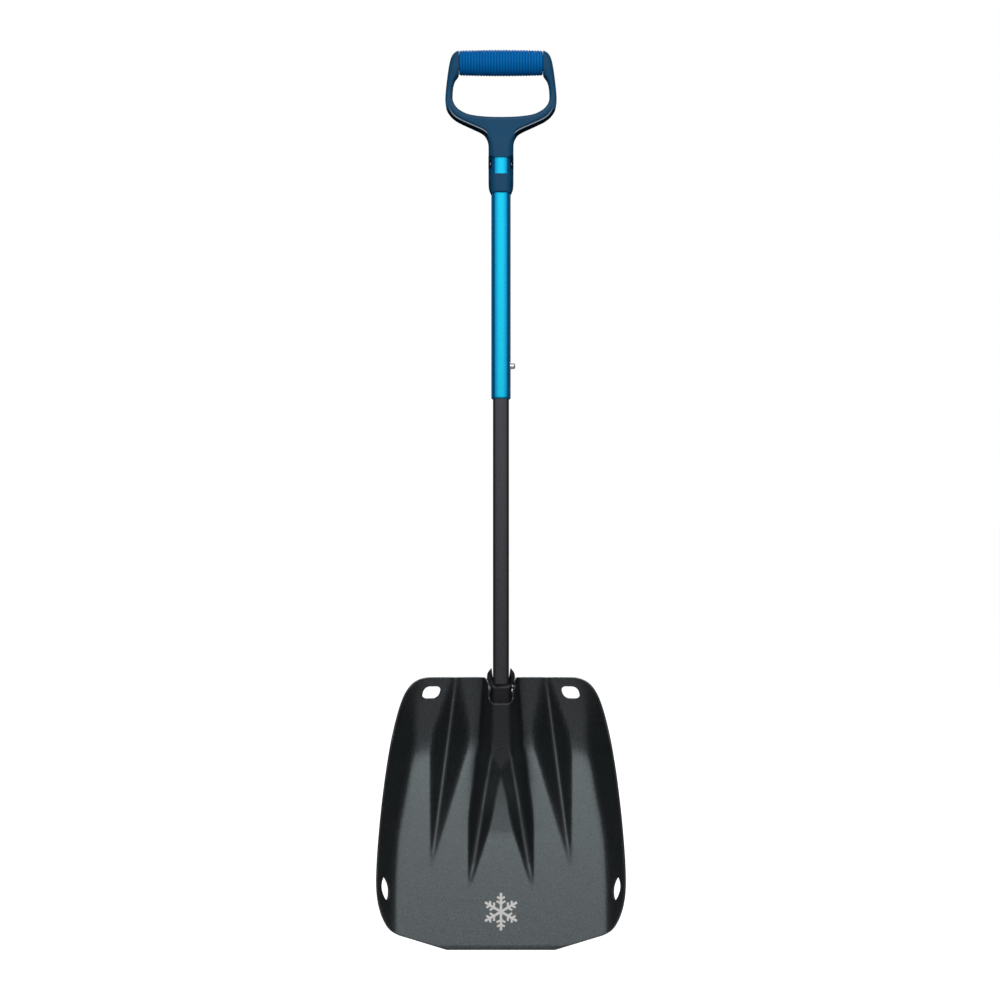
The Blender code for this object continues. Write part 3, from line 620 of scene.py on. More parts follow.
def make_sleeve(material):
    """Socket sleeve: a flared, rounded mouth that is cut low and slanted at the front."""
    outside = [(SLEEVE_BOTTOM, SLEEVE_OUTER - 1 * MM), (SLEEVE_BOTTOM + 0.3 * MM, SLEEVE_OUTER - 0.3 * MM),
               (SLEEVE_BOTTOM + 1 * MM, SLEEVE_OUTER)]
    flare = [(269.6, 4.9), (271.8, 5.4), (274.2, 6.4), (276.8, 7.5), (279.5, 8.1), (282.3, 8.1),
             (285, 7.5), (287.3, 6.1), (289, 4.9), (289.9, 4.2)]
    flare = smooth_path(in_metres(flare), 4)
    rim = [(SLEEVE_TOP, 3.85 * MM), (SLEEVE_TOP - 0.1 * MM, 3.6 * MM), (SLEEVE_TOP - 2 * MM, 3.45 * MM),
           (SLEEVE_TOP - 5 * MM, 3.1 * MM)]
    inside = [(SLEEVE_TOP - 8 * MM, SLEEVE_INNER), (SLEEVE_BOTTOM + 2.5 * MM, SLEEVE_INNER),
              (SLEEVE_BOTTOM + 2.5 * MM, 0.2 * MM), (SLEEVE_BOTTOM, 0.2 * MM)]
    sleeve = loft("socket", outside + flare + rim + inside, hollow=True)

    # slanted cuts of the mouth, low at the front and rear, that leave an ear on each side
    reach = 60 * MM
    for side, lip_z in ((-1, SLEEVE_LIP_Z), (1, SLEEVE_LIP_Z + 4 * MM)):
        place = Matrix.Translation((0, side * reach / 4, reach / 2))
        slant = primitive("cut_mouth", bmesh.ops.create_cube, size=1,
                          matrix=place @ Matrix.Diagonal((reach, 1.5 * reach, reach, 1)))
        slant.location = (0, side * (CORE_HALF_DEPTH + SLEEVE_OUTER), lip_z)
        slant.rotation_euler = (math.radians(-MOUTH_SLANT * side), 0, 0)
        cut(sleeve, slant)
    button_hole(sleeve, LOWER_BUTTON_Z, 30 * MM, 48)
    for z in RIVET_HEIGHTS:
        rivet_hole(sleeve, z)
    # a thumb recess round the button, scooped out of the flare
    recess = primitive("cut_thumb", bmesh.ops.create_uvsphere, u_segments=48, v_segments=32,
                       radius=9.5 * MM)
    recess.location = (20.2 * MM, 0, LOWER_BUTTON_Z + 4.5 * MM)
    recess.scale = (1, 1.25, 0.66)
    cut(sleeve, recess)
    apply_modifiers(sleeve)
    merge_slivers(sleeve)
    smooth(sleeve, 40)
    x, y, z = vertex_columns(sleeve)
    # painted light at the lip: a painted highlight along its outer edge, painted shade just inside the
    # mouth, lighter on the ears
    rise = math.tan(math.radians(MOUTH_SLANT))
    from_lip = z - SLEEVE_LIP_Z - (y + CORE_HALF_DEPTH + SLEEVE_OUTER) * rise
    on_lip = bell(from_lip, 0.9 * MM) * (y < 0)
    growth = np.hypot(np.maximum(np.abs(x) - CORE_FRONT_HALF, 0), np.maximum(np.abs(y) - CORE_HALF_DEPTH, 0))
    lip_half, pale, painted_ear_shade, painted_mouth_shade = 10.5 * MM, 0.08, -0.35, -1
    outside = (growth > 4.3 * MM) & (np.abs(x) < lip_half + 0.5 * MM)
    shade = np.where(np.abs(x) > lip_half, painted_ear_shade, painted_mouth_shade)
    set_painted_light(sleeve, on_lip * np.where(outside, pale, shade))
    settle(sleeve, material, "blade", "socket_sleeve", slot="black_plastic")


BRACKET_HALF = 36 * MM
BRACKET_FLAT_HALF, BRACKET_FOOT = 12.2 * MM, 19 * MM
BRACKET_MID_Y = CORE_HALF_DEPTH + SLEEVE_OUTER + GAP + SHEET / 2


def bracket_depth(x, z):
    """Mid-plane of the rear plate: flat behind the sleeve, then down to flanges on the blade."""
    flange = floor_depth(z) + SHEET + 2 * GAP
    share = ramp(np.abs(x) - BRACKET_FLAT_HALF, BRACKET_FOOT - BRACKET_FLAT_HALF)
    share = share * share * (3 - 2 * share)
    return BRACKET_MID_Y + share * (flange - BRACKET_MID_Y)


def make_bracket(material):
    """Stamped plate that closes the channel behind the sleeve, with rounded corners."""
    width, height = 2 * BRACKET_HALF, BRACKET_TOP - BRACKET_BOTTOM
    centre = (0, (BRACKET_TOP + BRACKET_BOTTOM) / 2)
    outline = resample(rounded_box(width, height, 7 * MM, centre, 6), 1.6 * MM)
    holes = [arc((0, z), RIVET_BORE_RADIUS, 0, 360, 24)[:-1] for z in RIVET_HEIGHTS]
    x, z = np.meshgrid(np.linspace(-BRACKET_HALF, BRACKET_HALF, 57),
                       np.linspace(BRACKET_BOTTOM, BRACKET_TOP, 25))
    inner = np.column_stack([x.ravel(), z.ravel()])
    inside = np.all(np.abs(inner - centre) < (width / 2 - 1 * MM, height / 2 - 1 * MM), axis=1)
    inner = inner[inside & (distance_to_loops(inner, [outline, *holes]) > 0.8 * MM)]
    flat, faces = triangulate([outline, *holes], inner)
    x, z = np.array(flat).T
    bracket = sheet_mesh("back_plate", flat, faces, bracket_depth(x, z))
    thicken(bracket, SHEET)
    bevel(bracket, 0.35 * MM, 2, 50)
    settle(bracket, material, "blade", "rear_bracket", slot="blade_sheet")


def make_weld(side, name, material):
    """A weld bead laid as overlapping ripples along the plate's edge."""
    x = side * (BRACKET_HALF + 0.9 * MM)
    low, high, radius, ripple, sag = 221 * MM, 256 * MM, 1.6 * MM, 1.5 * MM, 0.5 * MM
    around = arc((0, 0), 1, 0, 360, 16)[:-1]
    rings, count = [], 70
    for i in range(count + 1):
        share = i / count
        z = low + (high - low) * share
        phase = (z - low) / ripple % 1
        dome = math.sqrt(max(1 - (2 * share - 1) ** 12, 0.0))
        reach = radius * (0.86 + 0.14 * math.sqrt(1 - phase)) * max(dome, 0.02)
        middle_y = float(blade_depth(x, z)) + SHEET / 2 + 0.5 * MM
        # the ripples sag in the middle: points further round lag behind
        rings.append([(x + reach * across, middle_y + reach * out * 0.9, z - sag * across ** 2)
                      for across, out in around])
    weld = skin(f"weld_{name}", rings)
    smooth(weld, 60)
    settle(weld, material, "blade", f"weld_bead_{name}", slot="blade_sheet")


def make_rivet(name, node, z, shank_end, plate_y, head_radius, body, material):
    """Blind rivet: a domed head with a turned rim and the broken mandrel in its middle."""
    shank, head = 2.0 * MM, plate_y + GAP
    dome = [(head + 0.35 * MM + 1.25 * MM * math.sin(t), 1.5 * MM + (head_radius - 1.5 * MM) * math.cos(t))
            for t in np.linspace(0, math.pi / 2, 9)]
    profile = ([(shank_end, 0.0), (shank_end, shank - 0.3 * MM), (shank_end + 0.3 * MM, shank),
                (head, shank), (head, head_radius - 0.1 * MM), (head + 0.1 * MM, head_radius)]
               + [(float(y), float(r)) for y, r in dome]
               + [(head + 1.3 * MM, 1.2 * MM), (head + 0.9 * MM, 1.05 * MM), (head + 0.9 * MM, 0.8 * MM),
                  (head + 1.15 * MM, 0.6 * MM), (head + 1.2 * MM, 0.0)])
    rivet = turned(name, profile, "Y", (0, 0, z), 40)
    smooth(rivet, 35)
    settle(rivet, material, body, node, slot="bright_steel")


# ---------------- shaft
LOWER_OUTER, LOWER_INNER = 2.4 * MM, 1.0 * MM
UPPER_INNER, UPPER_OUTER = 2.7 * MM, 3.7 * MM


def make_lower_tube(material):
    tube = loft("shaft_lower", rounded_tube(LOWER_BOTTOM, LOWER_TOP, LOWER_OUTER, LOWER_INNER, 0.4 * MM),
                hollow=True)
    for z in (LOWER_BUTTON_Z, UPPER_BUTTON_Z):
        button_hole(tube, z)
    bevel(tube, 0.15 * MM, 1, 35)
    settle(tube, material, "lower_shaft", "lower_tube", slot="black_tube")


def make_upper_tube(material):
    """Blue tube whose lower end is rolled in."""
    roll, drop, steps = 2.5 * MM, 0.8 * MM, 8
    rolled = [(UPPER_BOTTOM + roll * (1 - math.cos(math.pi / 2 * i / steps)),
               UPPER_OUTER - drop * (1 - math.sin(math.pi / 2 * i / steps))) for i in range(steps + 1)]
    edge = [(UPPER_TOP - 0.4 * MM, UPPER_OUTER), (UPPER_TOP, UPPER_OUTER - 0.4 * MM)]
    rings = rolled + edge + [(UPPER_TOP, UPPER_INNER), (UPPER_BOTTOM, UPPER_INNER)]
    tube = loft("shaft_upper", rings, hollow=True)
    for z in (UPPER_BUTTON_Z, STOWED_HOLE_Z):
        button_hole(tube, z)
    rivet_hole(tube, HANDLE_RIVET_Z)
    bevel(tube, 0.15 * MM, 1, 35)
    settle(tube, material, "upper_shaft", "upper_tube", slot="blue_tube")


def make_button(name, node, body, z, material):
    """Snap button: a collar behind the tube's wall, a straight pin and a rounded nose."""
    low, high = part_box(node)
    back, tip = low.x, high.x
    collar, collar_radius, radius, nose = back + 1.0 * MM, 4.5 * MM, 3.25 * MM, 1.7 * MM
    profile = [(back, 0.0), (back, collar_radius - 0.2 * MM), (back + 0.2 * MM, collar_radius),
               (collar - 0.2 * MM, collar_radius), (collar, collar_radius - 0.2 * MM),
               (collar, radius + 0.2 * MM), (collar + 0.2 * MM, radius)]
    for i in range(11):
        angle = math.pi / 2 * i / 10
        profile.append((tip - nose + nose * math.sin(angle), radius - nose + nose * math.cos(angle)))
    profile.append((tip, 0.0))
    button = turned(name, profile, "X", (0, 0, z))
    smooth(button, 35)
    settle(button, material, body, node, slot="bright_steel")


# ---------------- handle
NECK_INNER, NECK_OUTER = 4.0 * MM, 6.95 * MM
FOOT_Z = NECK_BOTTOM - 2 * MM
WINDOW_HALF, WINDOW_Z = 9.4 * MM, (798.0 * MM, 815.2 * MM)
SIDE_OPENING_RADIUS, FRONT_DROP = 5.5 * MM, 1.3 * MM
GRIP_BORE_RADIUS = 8.3 * MM
GRIP_RADIUS = 13.5 * MM

BOSS_FACE = GRIP_HALF_LENGTH + 0.4 * MM
# Outline of the handle, right half, (half width, height) in millimetres, from the neck's foot up
# to the top of the boss beside the grip.
HANDLE_FOOT = [(10.4, 779), (10.8, 780), (11.8, 782.4), (12.5, 785), (12.8, 788)]
HANDLE_EDGE = [
    (12.8, 812), (12.8, 822), (13, 830), (14.2, 835), (17, 839), (21.4, 842), (28, 845),
    (36, 848.6), (44.4, 852.6), (50.2, 856.8), (53.6, 861), (55.8, 865.4), (56.9, 870), (57.2, 875),
    (56.9, 882), (56, 891), (54.6, 902), (53.2, 910.5), (51.6, 917), (49.4, 921.4), (46.6, 924),
    (43.4, 925.3)]
# Its opening, right half, from the middle of the lower edge up to the boss.
OPENING_EDGE = [
    (0, 857), (10, 857.2), (20, 857.8), (31, 859.4), (38, 861.8), (44, 865.6), (47.8, 870.2),
    (49.6, 875), (49.9, 881), (49.2, 889), (47.6, 894.6), (45.5, 897.8), (44.1, 899.8), (43.4, 902)]
# Along the handle's height (millimetres): its half depth, then how far its outer edge and the edge
# of its opening are rounded.
HANDLE_SECTIONS = [
    (781, 16.05, 6.95, 3.4), (824, 16.05, 6.95, 3.4), (834, 15.2, 5.0, 3.4), (842, 13.2, 1.6, 3.2),
    (850, 11.6, 1.2, 3.0), (862, 10.0, 1.2, 3.0), (872, 9.2, 1.8, 3.0), (884, 8.8, 3.0, 3.0),
    (898, 9.6, 3.8, 3.4), (908, 11.2, 4.6, 3.6), (926, 11.2, 4.8, 3.6)]
# The parting step round the underside of the arms: distance in from the edge, drop, in millimetres.
PARTING_STEP = [(0, 8.4), (2.1, 3.2), (2.35, 2.9), (3.15, 2.7), (3.5, 1.9), (4.4, 0.4), (5.3, 0)]


def rounding(distance, radius):
    """How far a surface has dropped at a distance from an edge rounded to a radius."""
    return radius * (1 - np.sqrt(np.maximum(1 - (1 - ramp(distance, radius)) ** 2, 0)))


def handle_paths():
    """The handle's outer edge and its opening's edge, each from the right boss to the left."""
    edge = smooth_path(in_metres(HANDLE_EDGE), 5)
    right = in_metres(HANDLE_FOOT) + edge[:-1] + [(BOSS_FACE, edge[-1][1])]
    outer = right[::-1] + [(-x, z) for x, z in right]
    half = smooth_path(in_metres(OPENING_EDGE), 5)
    half = half[:-1] + [(BOSS_FACE, half[-1][1])]
    opening = half[::-1] + [(-x, z) for x, z in half[1:]]
    return outer, opening


def under_arms(x, z):
    """1 along the underside of the arms, fading to 0 up their sides and at the neck."""
    fades = ramp(868 * MM - z, 9 * MM) * ramp(z - 832 * MM, 7 * MM)
    return fades * ramp(np.abs(x) - 13 * MM, 2 * MM)


def distance_to_edges(x, z):
    """Distances to the handle's outer edge, leaving out its foot, and to its opening."""
    outer, opening = handle_paths()
    right = outer[:len(outer) // 2 - len(HANDLE_FOOT)]
    right.append((HANDLE_FOOT[0][0] * MM, NECK_BOTTOM - 8 * MM))
    # mirror the points instead of the line: both sides are alike
    to_outer = distance_to_path(np.column_stack([np.abs(x), z]), right)
    return to_outer, distance_to_path(np.column_stack([x, z]), opening)


def handle_depths(x, z):
    """Half depth of the handle at arrays x and z."""
    to_outer, to_opening = distance_to_edges(x, z)
    heights, depth, outer_round, inner_round = np.array(HANDLE_SECTIONS).T * MM
    step_at, step_drop = np.array(PARTING_STEP).T * MM
    drop = np.maximum(rounding(to_outer, np.interp(z, heights, outer_round)),
                      rounding(to_opening, np.interp(z, heights, inner_round)))
    drop = np.maximum(drop, np.interp(to_outer, step_at, step_drop) * under_arms(x, z))
    drop = np.maximum(drop, rounding(z - FOOT_Z, 1.5 * MM))
    return np.interp(z, heights, depth) - drop


def handle_painted_light(x, y, z):
    """Painted light on the handle: painted highlights along the parting seam under the arms and along the
    opening's lower edge (above 0), painted shade in the crease under the arms and in the recesses by the
    side openings (below 0).
    """
    to_outer, to_opening = distance_to_edges(x, z)
    seam_highlight = bell(to_outer - 2.75 * MM, 0.5 * MM) * under_arms(x, z)
    crease_shade = ramp(2.3 * MM - to_outer, 0.3 * MM) * under_arms(x, z)
    opening_edge_highlight = bell(to_opening - 2.4 * MM, 0.7 * MM) * ramp(885 * MM - z, 15 * MM)
    from_opening = np.abs(z - STOWED_HOLE_Z + FRONT_DROP)
    post_shade = ramp(np.abs(x) - 9 * MM, 0.5 * MM) * ramp(6.3 * MM - from_opening, 0.6 * MM)
    outside = np.abs(y) > 1 * MM
    return (seam_highlight + 0.07 * opening_edge_highlight - crease_shade) * outside - 0.9 * post_shade * (y < 7 * MM)


def inflate(name, loop, spacing, half_depth, shares):
    """A closed body from a flat region: front and back sheets joined by straight side walls."""
    low, high = np.min(loop, axis=0), np.max(loop, axis=0)
    # even points inside, and rings that follow the edge, where the surface turns fastest
    columns = np.arange(low[0] + spacing / 2, high[0], spacing)
    rows = np.arange(low[1] + spacing / 2, high[1], spacing)
    x, z = np.meshgrid(columns, rows)
    inner = np.column_stack([x.ravel(), z.ravel()])
    inner = inner[distance_to_loops(inner, [loop]) > shares[-1] + 0.5 * spacing]
    points = np.array(loop)
    tangent = np.roll(points, -1, axis=0) - np.roll(points, 1, axis=0)
    tangent /= np.maximum(np.hypot(*tangent.T)[:, None], 1e-12)
    inward = np.column_stack([tangent[:, 1], -tangent[:, 0]])
    rings = []
    for share in shares:
        ring = points + inward * share
        rings.append(ring[distance_to_loops(ring, [loop]) > 0.96 * share])
    flat, faces = triangulate([loop], np.vstack([inner, *rings]))
    points = np.array(flat)
    depth = half_depth(points[:, 0], points[:, 1])
    count = len(points)
    verts = [(x, side * d, z) for side in (-1, 1) for (x, z), d in zip(flat, depth)]
    back = [[index + count for index in reversed(face)] for face in faces]
    edge_use = {(a, b) for face in faces for a, b in zip(face, face[1:] + face[:1])}
    rim = [(a, b) for a, b in edge_use if (b, a) not in edge_use]
    walls = [[b, a, a + count, b + count] for a, b in rim]
    bm = bmesh.new()
    made = [bm.verts.new(vert) for vert in verts]
    for face in faces + back + sorted(walls):
        bm.faces.new([made[index] for index in face])
    loose = [vert for vert in bm.verts if not vert.link_faces]
    bmesh.ops.delete(bm, geom=loose, context="VERTS")
    bmesh.ops.recalc_face_normals(bm, faces=bm.faces)
    return mesh_object(name, bm)


def side_slot(name, radius, start_x, end_x):
    """A tool through the neck's sides: a round hole drawn out forward and slightly down."""
    forward = 9 * MM
    side_view = (arc((0, STOWED_HOLE_Z), radius, -90, 90, 20)
                 + arc((-forward, STOWED_HOLE_Z - FRONT_DROP), radius, 90, 270, 20))
    return skin(name, [[(x, y, z) for y, z in side_view] for x in (start_x, end_x)], group=TOOLS)


def make_handle(material):
    outer, opening = handle_paths()
    loop = resample(outer + opening[::-1], 1.6 * MM)
    rings = [share * MM for share in (0.15, 0.4, 0.8, 1.4, 2.1, 2.35, 2.75, 3.15, 3.5, 4.4, 5.4, 6.6)]
    handle = inflate("handle_shell", loop, 1.9 * MM, handle_depths, rings)

    # the bar that the grip sits on, between the two arms
    reach = GRIP_HALF_LENGTH + 4 * MM
    bar = cylinder("join_bar", GRIP_BORE_RADIUS - GAP, (-reach, 0, GRIP_Z), (reach, 0, GRIP_Z), 40)
    cut(handle, bar, "UNION")

    rims = side_slot("join_rims", SIDE_OPENING_RADIUS + 1.7 * MM, -12.9 * MM, 12.9 * MM)
    cut(handle, rims, "UNION")

    cut(handle, loft("cut_bore", [(NECK_BOTTOM - 10 * MM, NECK_INNER), (UPPER_TOP + 0.6 * MM, NECK_INNER)],
                     group=TOOLS))
    low, high = WINDOW_Z
    window = rounded_box(2 * WINDOW_HALF, high - low, 1.2 * MM, (0, (low + high) / 2), 4)
    cut(handle, skin("cut_window", [[(x, y, z) for x, z in window] for y in (-30 * MM, -5 * MM)],
                     group=TOOLS))
    # side openings reach round to the window, so that a thumb finds the button
    cut(handle, side_slot("cut_side_openings", SIDE_OPENING_RADIUS, -30 * MM, 30 * MM))
    rivet_hole(handle, HANDLE_RIVET_Z, 30 * MM)
    # thin slits beside the window, seen through from the front
    slit_x, lean, half_width, half_height = 10.95 * MM, 8, 0.55 * MM, 3.2 * MM
    for side in (-1, 1):
        slit = primitive("cut_slit", bmesh.ops.create_cone, cap_ends=True, segments=24, radius1=1,
                         radius2=1, depth=60 * MM)
        slit.location = (side * slit_x, 0, STOWED_HOLE_Z - 1.5 * MM)
        slit.rotation_euler = (math.radians(90), math.radians(-lean * side), 0)
        slit.scale = (half_width, half_height, 1)
        cut(handle, slit)
    apply_modifiers(handle)
    merge_slivers(handle)
    smooth(handle, 42)
    x, y, z = vertex_columns(handle)
    set_painted_light(handle, handle_painted_light(x, y, z))
    settle(handle, material, "upper_shaft", "handle_frame", slot="navy_plastic")


def make_grip(material):
    """Moulded grip: rings of rounded ribs on a sleeve that is fuller in the middle."""
    ribs, steps, crown, groove, chamfer = 29, 10, 0.7 * MM, 1.0 * MM, 0.3 * MM
    pitch = 2 * GRIP_HALF_LENGTH / (ribs + 0.3)
    start = -ribs / 2 * pitch
    end_radius = GRIP_RADIUS - 1.9 * MM
    profile = [(-GRIP_HALF_LENGTH, GRIP_BORE_RADIUS + chamfer), (-GRIP_HALF_LENGTH, end_radius)]
    for rib in range(ribs):
        for i in range(steps):
            share = (i + 0.5) / steps
            x = start + (rib + share) * pitch
            round_top = math.sin(math.pi * share) ** 0.55
            along_bar = x / GRIP_HALF_LENGTH
            end_fall = chamfer * max(abs(along_bar) - 0.95, 0) / 0.05
            profile.append((x, GRIP_RADIUS - crown * along_bar ** 2 - groove * (1 - round_top) - end_fall))
    profile += [(GRIP_HALF_LENGTH, end_radius), (GRIP_HALF_LENGTH, GRIP_BORE_RADIUS + chamfer),
                (GRIP_HALF_LENGTH - chamfer, GRIP_BORE_RADIUS),
                (-GRIP_HALF_LENGTH + chamfer, GRIP_BORE_RADIUS)]
    grip = turned("grip", profile, "X", (0, 0, GRIP_Z), 72)
    smooth(grip, 50)
    x, _, _ = vertex_columns(grip)
    share = (x - start) / pitch
    # painted shade in the grooves between the ribs
    set_painted_light(grip, -0.55 * bell(share - np.round(share), 0.16))
    settle(grip, material, "upper_shaft", "grip_sleeve", slot="blue_grip")


# ---------------- printed mark
MARK_Z = 39 * MM
PRINT_THICKNESS = 0.06 * MM


def stroke(start, end, width):
    """Corners of a straight stroke between two points, anticlockwise."""
    start, end = Vector(start), Vector(end)
    across = (end - start).normalized().orthogonal() * width / 2
    return [tuple(point) for point in (start - across, end - across, end + across, start + across)]


def make_mark(material):
    """A six-armed snow crystal, a stock winter symbol, printed on the scoop's floor."""
    arm, arm_width, tine_width = 19 * MM, 2.6 * MM, 2.1 * MM
    tines = ((8.2 * MM, 5.2 * MM), (12.8 * MM, 4.6 * MM))
    strokes = []
    for turn in range(6):
        angle = math.radians(60 * turn + 90)
        out = Vector((math.cos(angle), math.sin(angle)))
        strokes.append(stroke((0, 0), out * arm, arm_width))
        for side in (-1, 1):
            lean = angle + side * math.radians(60)
            branch = Vector((math.cos(lean), math.sin(lean)))
            for root, length in tines:
                strokes.append(stroke(out * root, out * root + branch * length, tine_width))
    corners = [Vector(point) for one in strokes for point in one]
    faces = [[4 * i + k for k in range(4)] for i in range(len(strokes))]
    flat, _, triangles = delaunay_2d_cdt(corners, [], faces, ONLY_INSIDE, 1e-7)[:3]
    x = np.array([point.x for point in flat])
    z = np.array([point.y for point in flat]) + MARK_Z
    lift = SHEET / 2 + PRINT_THICKNESS
    mark = sheet_mesh("printed_mark", list(zip(x, z)), [list(face) for face in triangles],
                      blade_depth(x, z) - lift)
    thicken(mark, PRINT_THICKNESS, even=False)
    apply_modifiers(mark)
    settle(mark, material, "blade", slot="bright_steel")


# ---------------- material nodes
def feed(tree, node, values):
    """Set a node's inputs: values are numbers, or other nodes' outputs to link from."""
    for key, value in values.items():
        if isinstance(value, bpy.types.NodeSocket):
            tree.links.new(value, node.inputs[key])
        else:
            node.inputs[key].default_value = value


def add_node(tree, kind, values=None, **settings):
    made = tree.nodes.new(kind)
    for key, value in settings.items():
        setattr(made, key, value)
    feed(tree, made, values or {})
    return made


def new_material(name):
    material = bpy.data.materials.new(name)
    material.use_nodes = True
    return material, material.node_tree, material.node_tree.nodes["Principled BSDF"]


def object_place(tree):
    return add_node(tree, "ShaderNodeTexCoord").outputs["Object"]


def noise(tree, scale, detail, stretch=(1, 1, 1)):
    """Noise in the object's own metres, stretched along an axis where stretch is below 1."""
    mapping = add_node(tree, "ShaderNodeMapping", {"Vector": object_place(tree), "Scale": stretch})
    made = add_node(tree, "ShaderNodeTexNoise",
                    {"Vector": mapping.outputs["Vector"], "Scale": scale, "Detail": detail})
    return made.outputs["Fac"]


def remap(tree, value, low, high, start=0.3, end=0.7):
    """Scale a value from start..end to low..high, clamped."""
    made = add_node(tree, "ShaderNodeMapRange", {"Value": value, "From Min": start, "From Max": end,
                                                 "To Min": low, "To Max": high})
    return made.outputs["Result"]


def mix_color(tree, factor, first, second):
    """Mix two colours, each three numbers or another node's output."""
    first, second = (color if isinstance(color, bpy.types.NodeSocket) else (*color, 1)
                     for color in (first, second))
    return add_node(tree, "ShaderNodeMix", {0: factor, 6: first, 7: second}, data_type="RGBA").outputs[2]


def bump(tree, height, strength, distance, normal=None):
    values = {"Height": height, "Strength": strength, "Distance": distance}
    if normal:
        values["Normal"] = normal
    return add_node(tree, "ShaderNodeBump", values).outputs["Normal"]


def painted_light_attribute(tree):
    return add_node(tree, "ShaderNodeAttribute", attribute_name="tone").outputs["Fac"]


def with_painted_light(tree, color, pale, dark):
    """A colour with painted light: paler (painted highlight) where the mesh's tone is above 0, darker
    (painted shade) where it is below.
    """
    color = mix_color(tree, remap(tree, painted_light_attribute(tree), 0, 1, 0, 1), color, pale)
    return mix_color(tree, remap(tree, painted_light_attribute(tree), 1, 0, -1, 0), color, dark)


def edge_highlight_mask(tree, start, end):
    """A mask of the mesh's convex edges, 0 on open faces to 1 on the edges, for a painted highlight along
    them.
    """
    return remap(tree, add_node(tree, "ShaderNodeNewGeometry").outputs["Pointiness"], 0, 1, start, end)


def blade_sheet_material():
    """Blasted and hard-anodised sheet: a satin sparkle of fine grain, with a painted highlight on its edges
    and the mesh's painted light.
    """
    material, tree, shader = new_material("blade_sheet")
    grain = noise(tree, 620, 3)
    fine = noise(tree, 1900, 2)
    sparkle = remap(tree, grain, 0, 1, 0.36, 0.66)
    color = mix_color(tree, sparkle, (0.090, 0.107, 0.111), (0.134, 0.156, 0.161))
    color = mix_color(tree, remap(tree, noise(tree, 14, 3), 0, 0.22), color, (0.097, 0.109, 0.108))
    # painted highlight on the convex edges
    color = mix_color(tree, edge_highlight_mask(tree, 0.53, 0.60), color, (0.14, 0.152, 0.157))
    # painted light from the mesh: paler highlights, near-black shade
    color = with_painted_light(tree, color, (0.30, 0.36, 0.36), (0.035, 0.036, 0.038))
    normal = bump(tree, fine, 0.16, 0.0003, bump(tree, grain, 0.12, 0.0005))
    feed(tree, shader, {"Base Color": color, "Metallic": 0.9, "Normal": normal,
                        "Roughness": remap(tree, grain, 0.36, 0.47)})
    return material


def tube_material(name, dark, light, corner, flank, roughness):
    """Anodised extrusion: blasted grain over faint lines drawn along the tube."""
    material, tree, shader = new_material(name)
    grain = noise(tree, 700, 3)
    lines = noise(tree, 900, 2, (1, 1, 0.01))
    cloud = noise(tree, 22, 2, (1, 1, 0.5))
    color = mix_color(tree, remap(tree, grain, 0, 1, 0.34, 0.66), dark, light)
    color = mix_color(tree, remap(tree, cloud, 0, 0.25), color, dark)
    # painted shade: the colour darkens from the middle of the front towards the tube's corners, standing in
    # for a sheen that fades there
    across = add_node(tree, "ShaderNodeSeparateXYZ", {"Vector": object_place(tree)}).outputs["X"]
    across = add_node(tree, "ShaderNodeMath", {0: across}, operation="ABSOLUTE").outputs["Value"]
    span = {"Value": across, "From Min": 1.2 * MM, "From Max": 7.3 * MM}
    crown = add_node(tree, "ShaderNodeMapRange", span, interpolation_type="SMOOTHSTEP").outputs["Result"]
    color = mix_color(tree, crown, color, corner)
    # painted sheen: the colour turns paler where the surface is seen at a slant
    slant = add_node(tree, "ShaderNodeLayerWeight", {"Blend": 0.5}).outputs["Facing"]
    color = mix_color(tree, remap(tree, slant, 0, 1, 0.06, 0.4), color, flank)
    normal = bump(tree, lines, 0.05, 0.0002, bump(tree, grain, 0.14, 0.0004))
    feed(tree, shader, {"Base Color": color, "Metallic": remap(tree, slant, 0.92, 0.12, 0.06, 0.4),
                        "Normal": normal,
                        "Roughness": remap(tree, grain, roughness - 0.04, roughness + 0.05)})
    return material


def moulded_material(name, dark, light, roughness, grain_scale=1300, gloss=0.2):
    """Injection-moulded plastic with the fine spark-eroded grain of its mould."""
    material, tree, shader = new_material(name)
    grain = noise(tree, grain_scale, 3)
    cloud = noise(tree, 35, 3)
    color = mix_color(tree, remap(tree, cloud, 0, 1), dark, light)
    # painted highlight on the convex edges
    color = mix_color(tree, edge_highlight_mask(tree, 0.54, 0.62), color, [1.2 * part for part in light])
    # painted light from the mesh: paler highlights, darker shade
    color = with_painted_light(tree, color, (0.62, 0.70, 0.78), [0.15 * part for part in dark])
    # reflections are weakened where the mesh's painted shade lies
    feed(tree, shader, {"Base Color": color, "Normal": bump(tree, grain, 0.22, 0.0003),
                        "Roughness": remap(tree, grain, roughness - 0.05, roughness + 0.07),
                        "Specular IOR Level": remap(tree, painted_light_attribute(tree), 0, gloss, -1, 0)})
    return material


def steel_material(name, color, roughness, metallic=1.0):
    """Turned steel with faint rings of the cut and small smudges."""
    material, tree, shader = new_material(name)
    smudge = noise(tree, 260, 3)
    fine = noise(tree, 2600, 2)
    tone = mix_color(tree, remap(tree, smudge, 0, 0.35), color, [0.8 * part for part in color])
    feed(tree, shader, {"Base Color": tone, "Metallic": metallic,
                        "Roughness": remap(tree, smudge, roughness - 0.05, roughness + 0.08),
                        "Normal": bump(tree, fine, 0.05, 0.0001)})
    return material


def print_material():
    """Pad-printed silver ink, slightly uneven where it lies on the blasted sheet."""
    material, tree, shader = new_material("print_ink")
    grain = noise(tree, 620, 3)
    color = mix_color(tree, remap(tree, grain, 0, 1, 0.3, 0.6), (0.55, 0.55, 0.535), (0.63, 0.63, 0.61))
    feed(tree, shader, {"Base Color": color, "Roughness": 0.42, "Metallic": 0.85,
                        "Normal": bump(tree, grain, 0.12, 0.0003)})
    return material


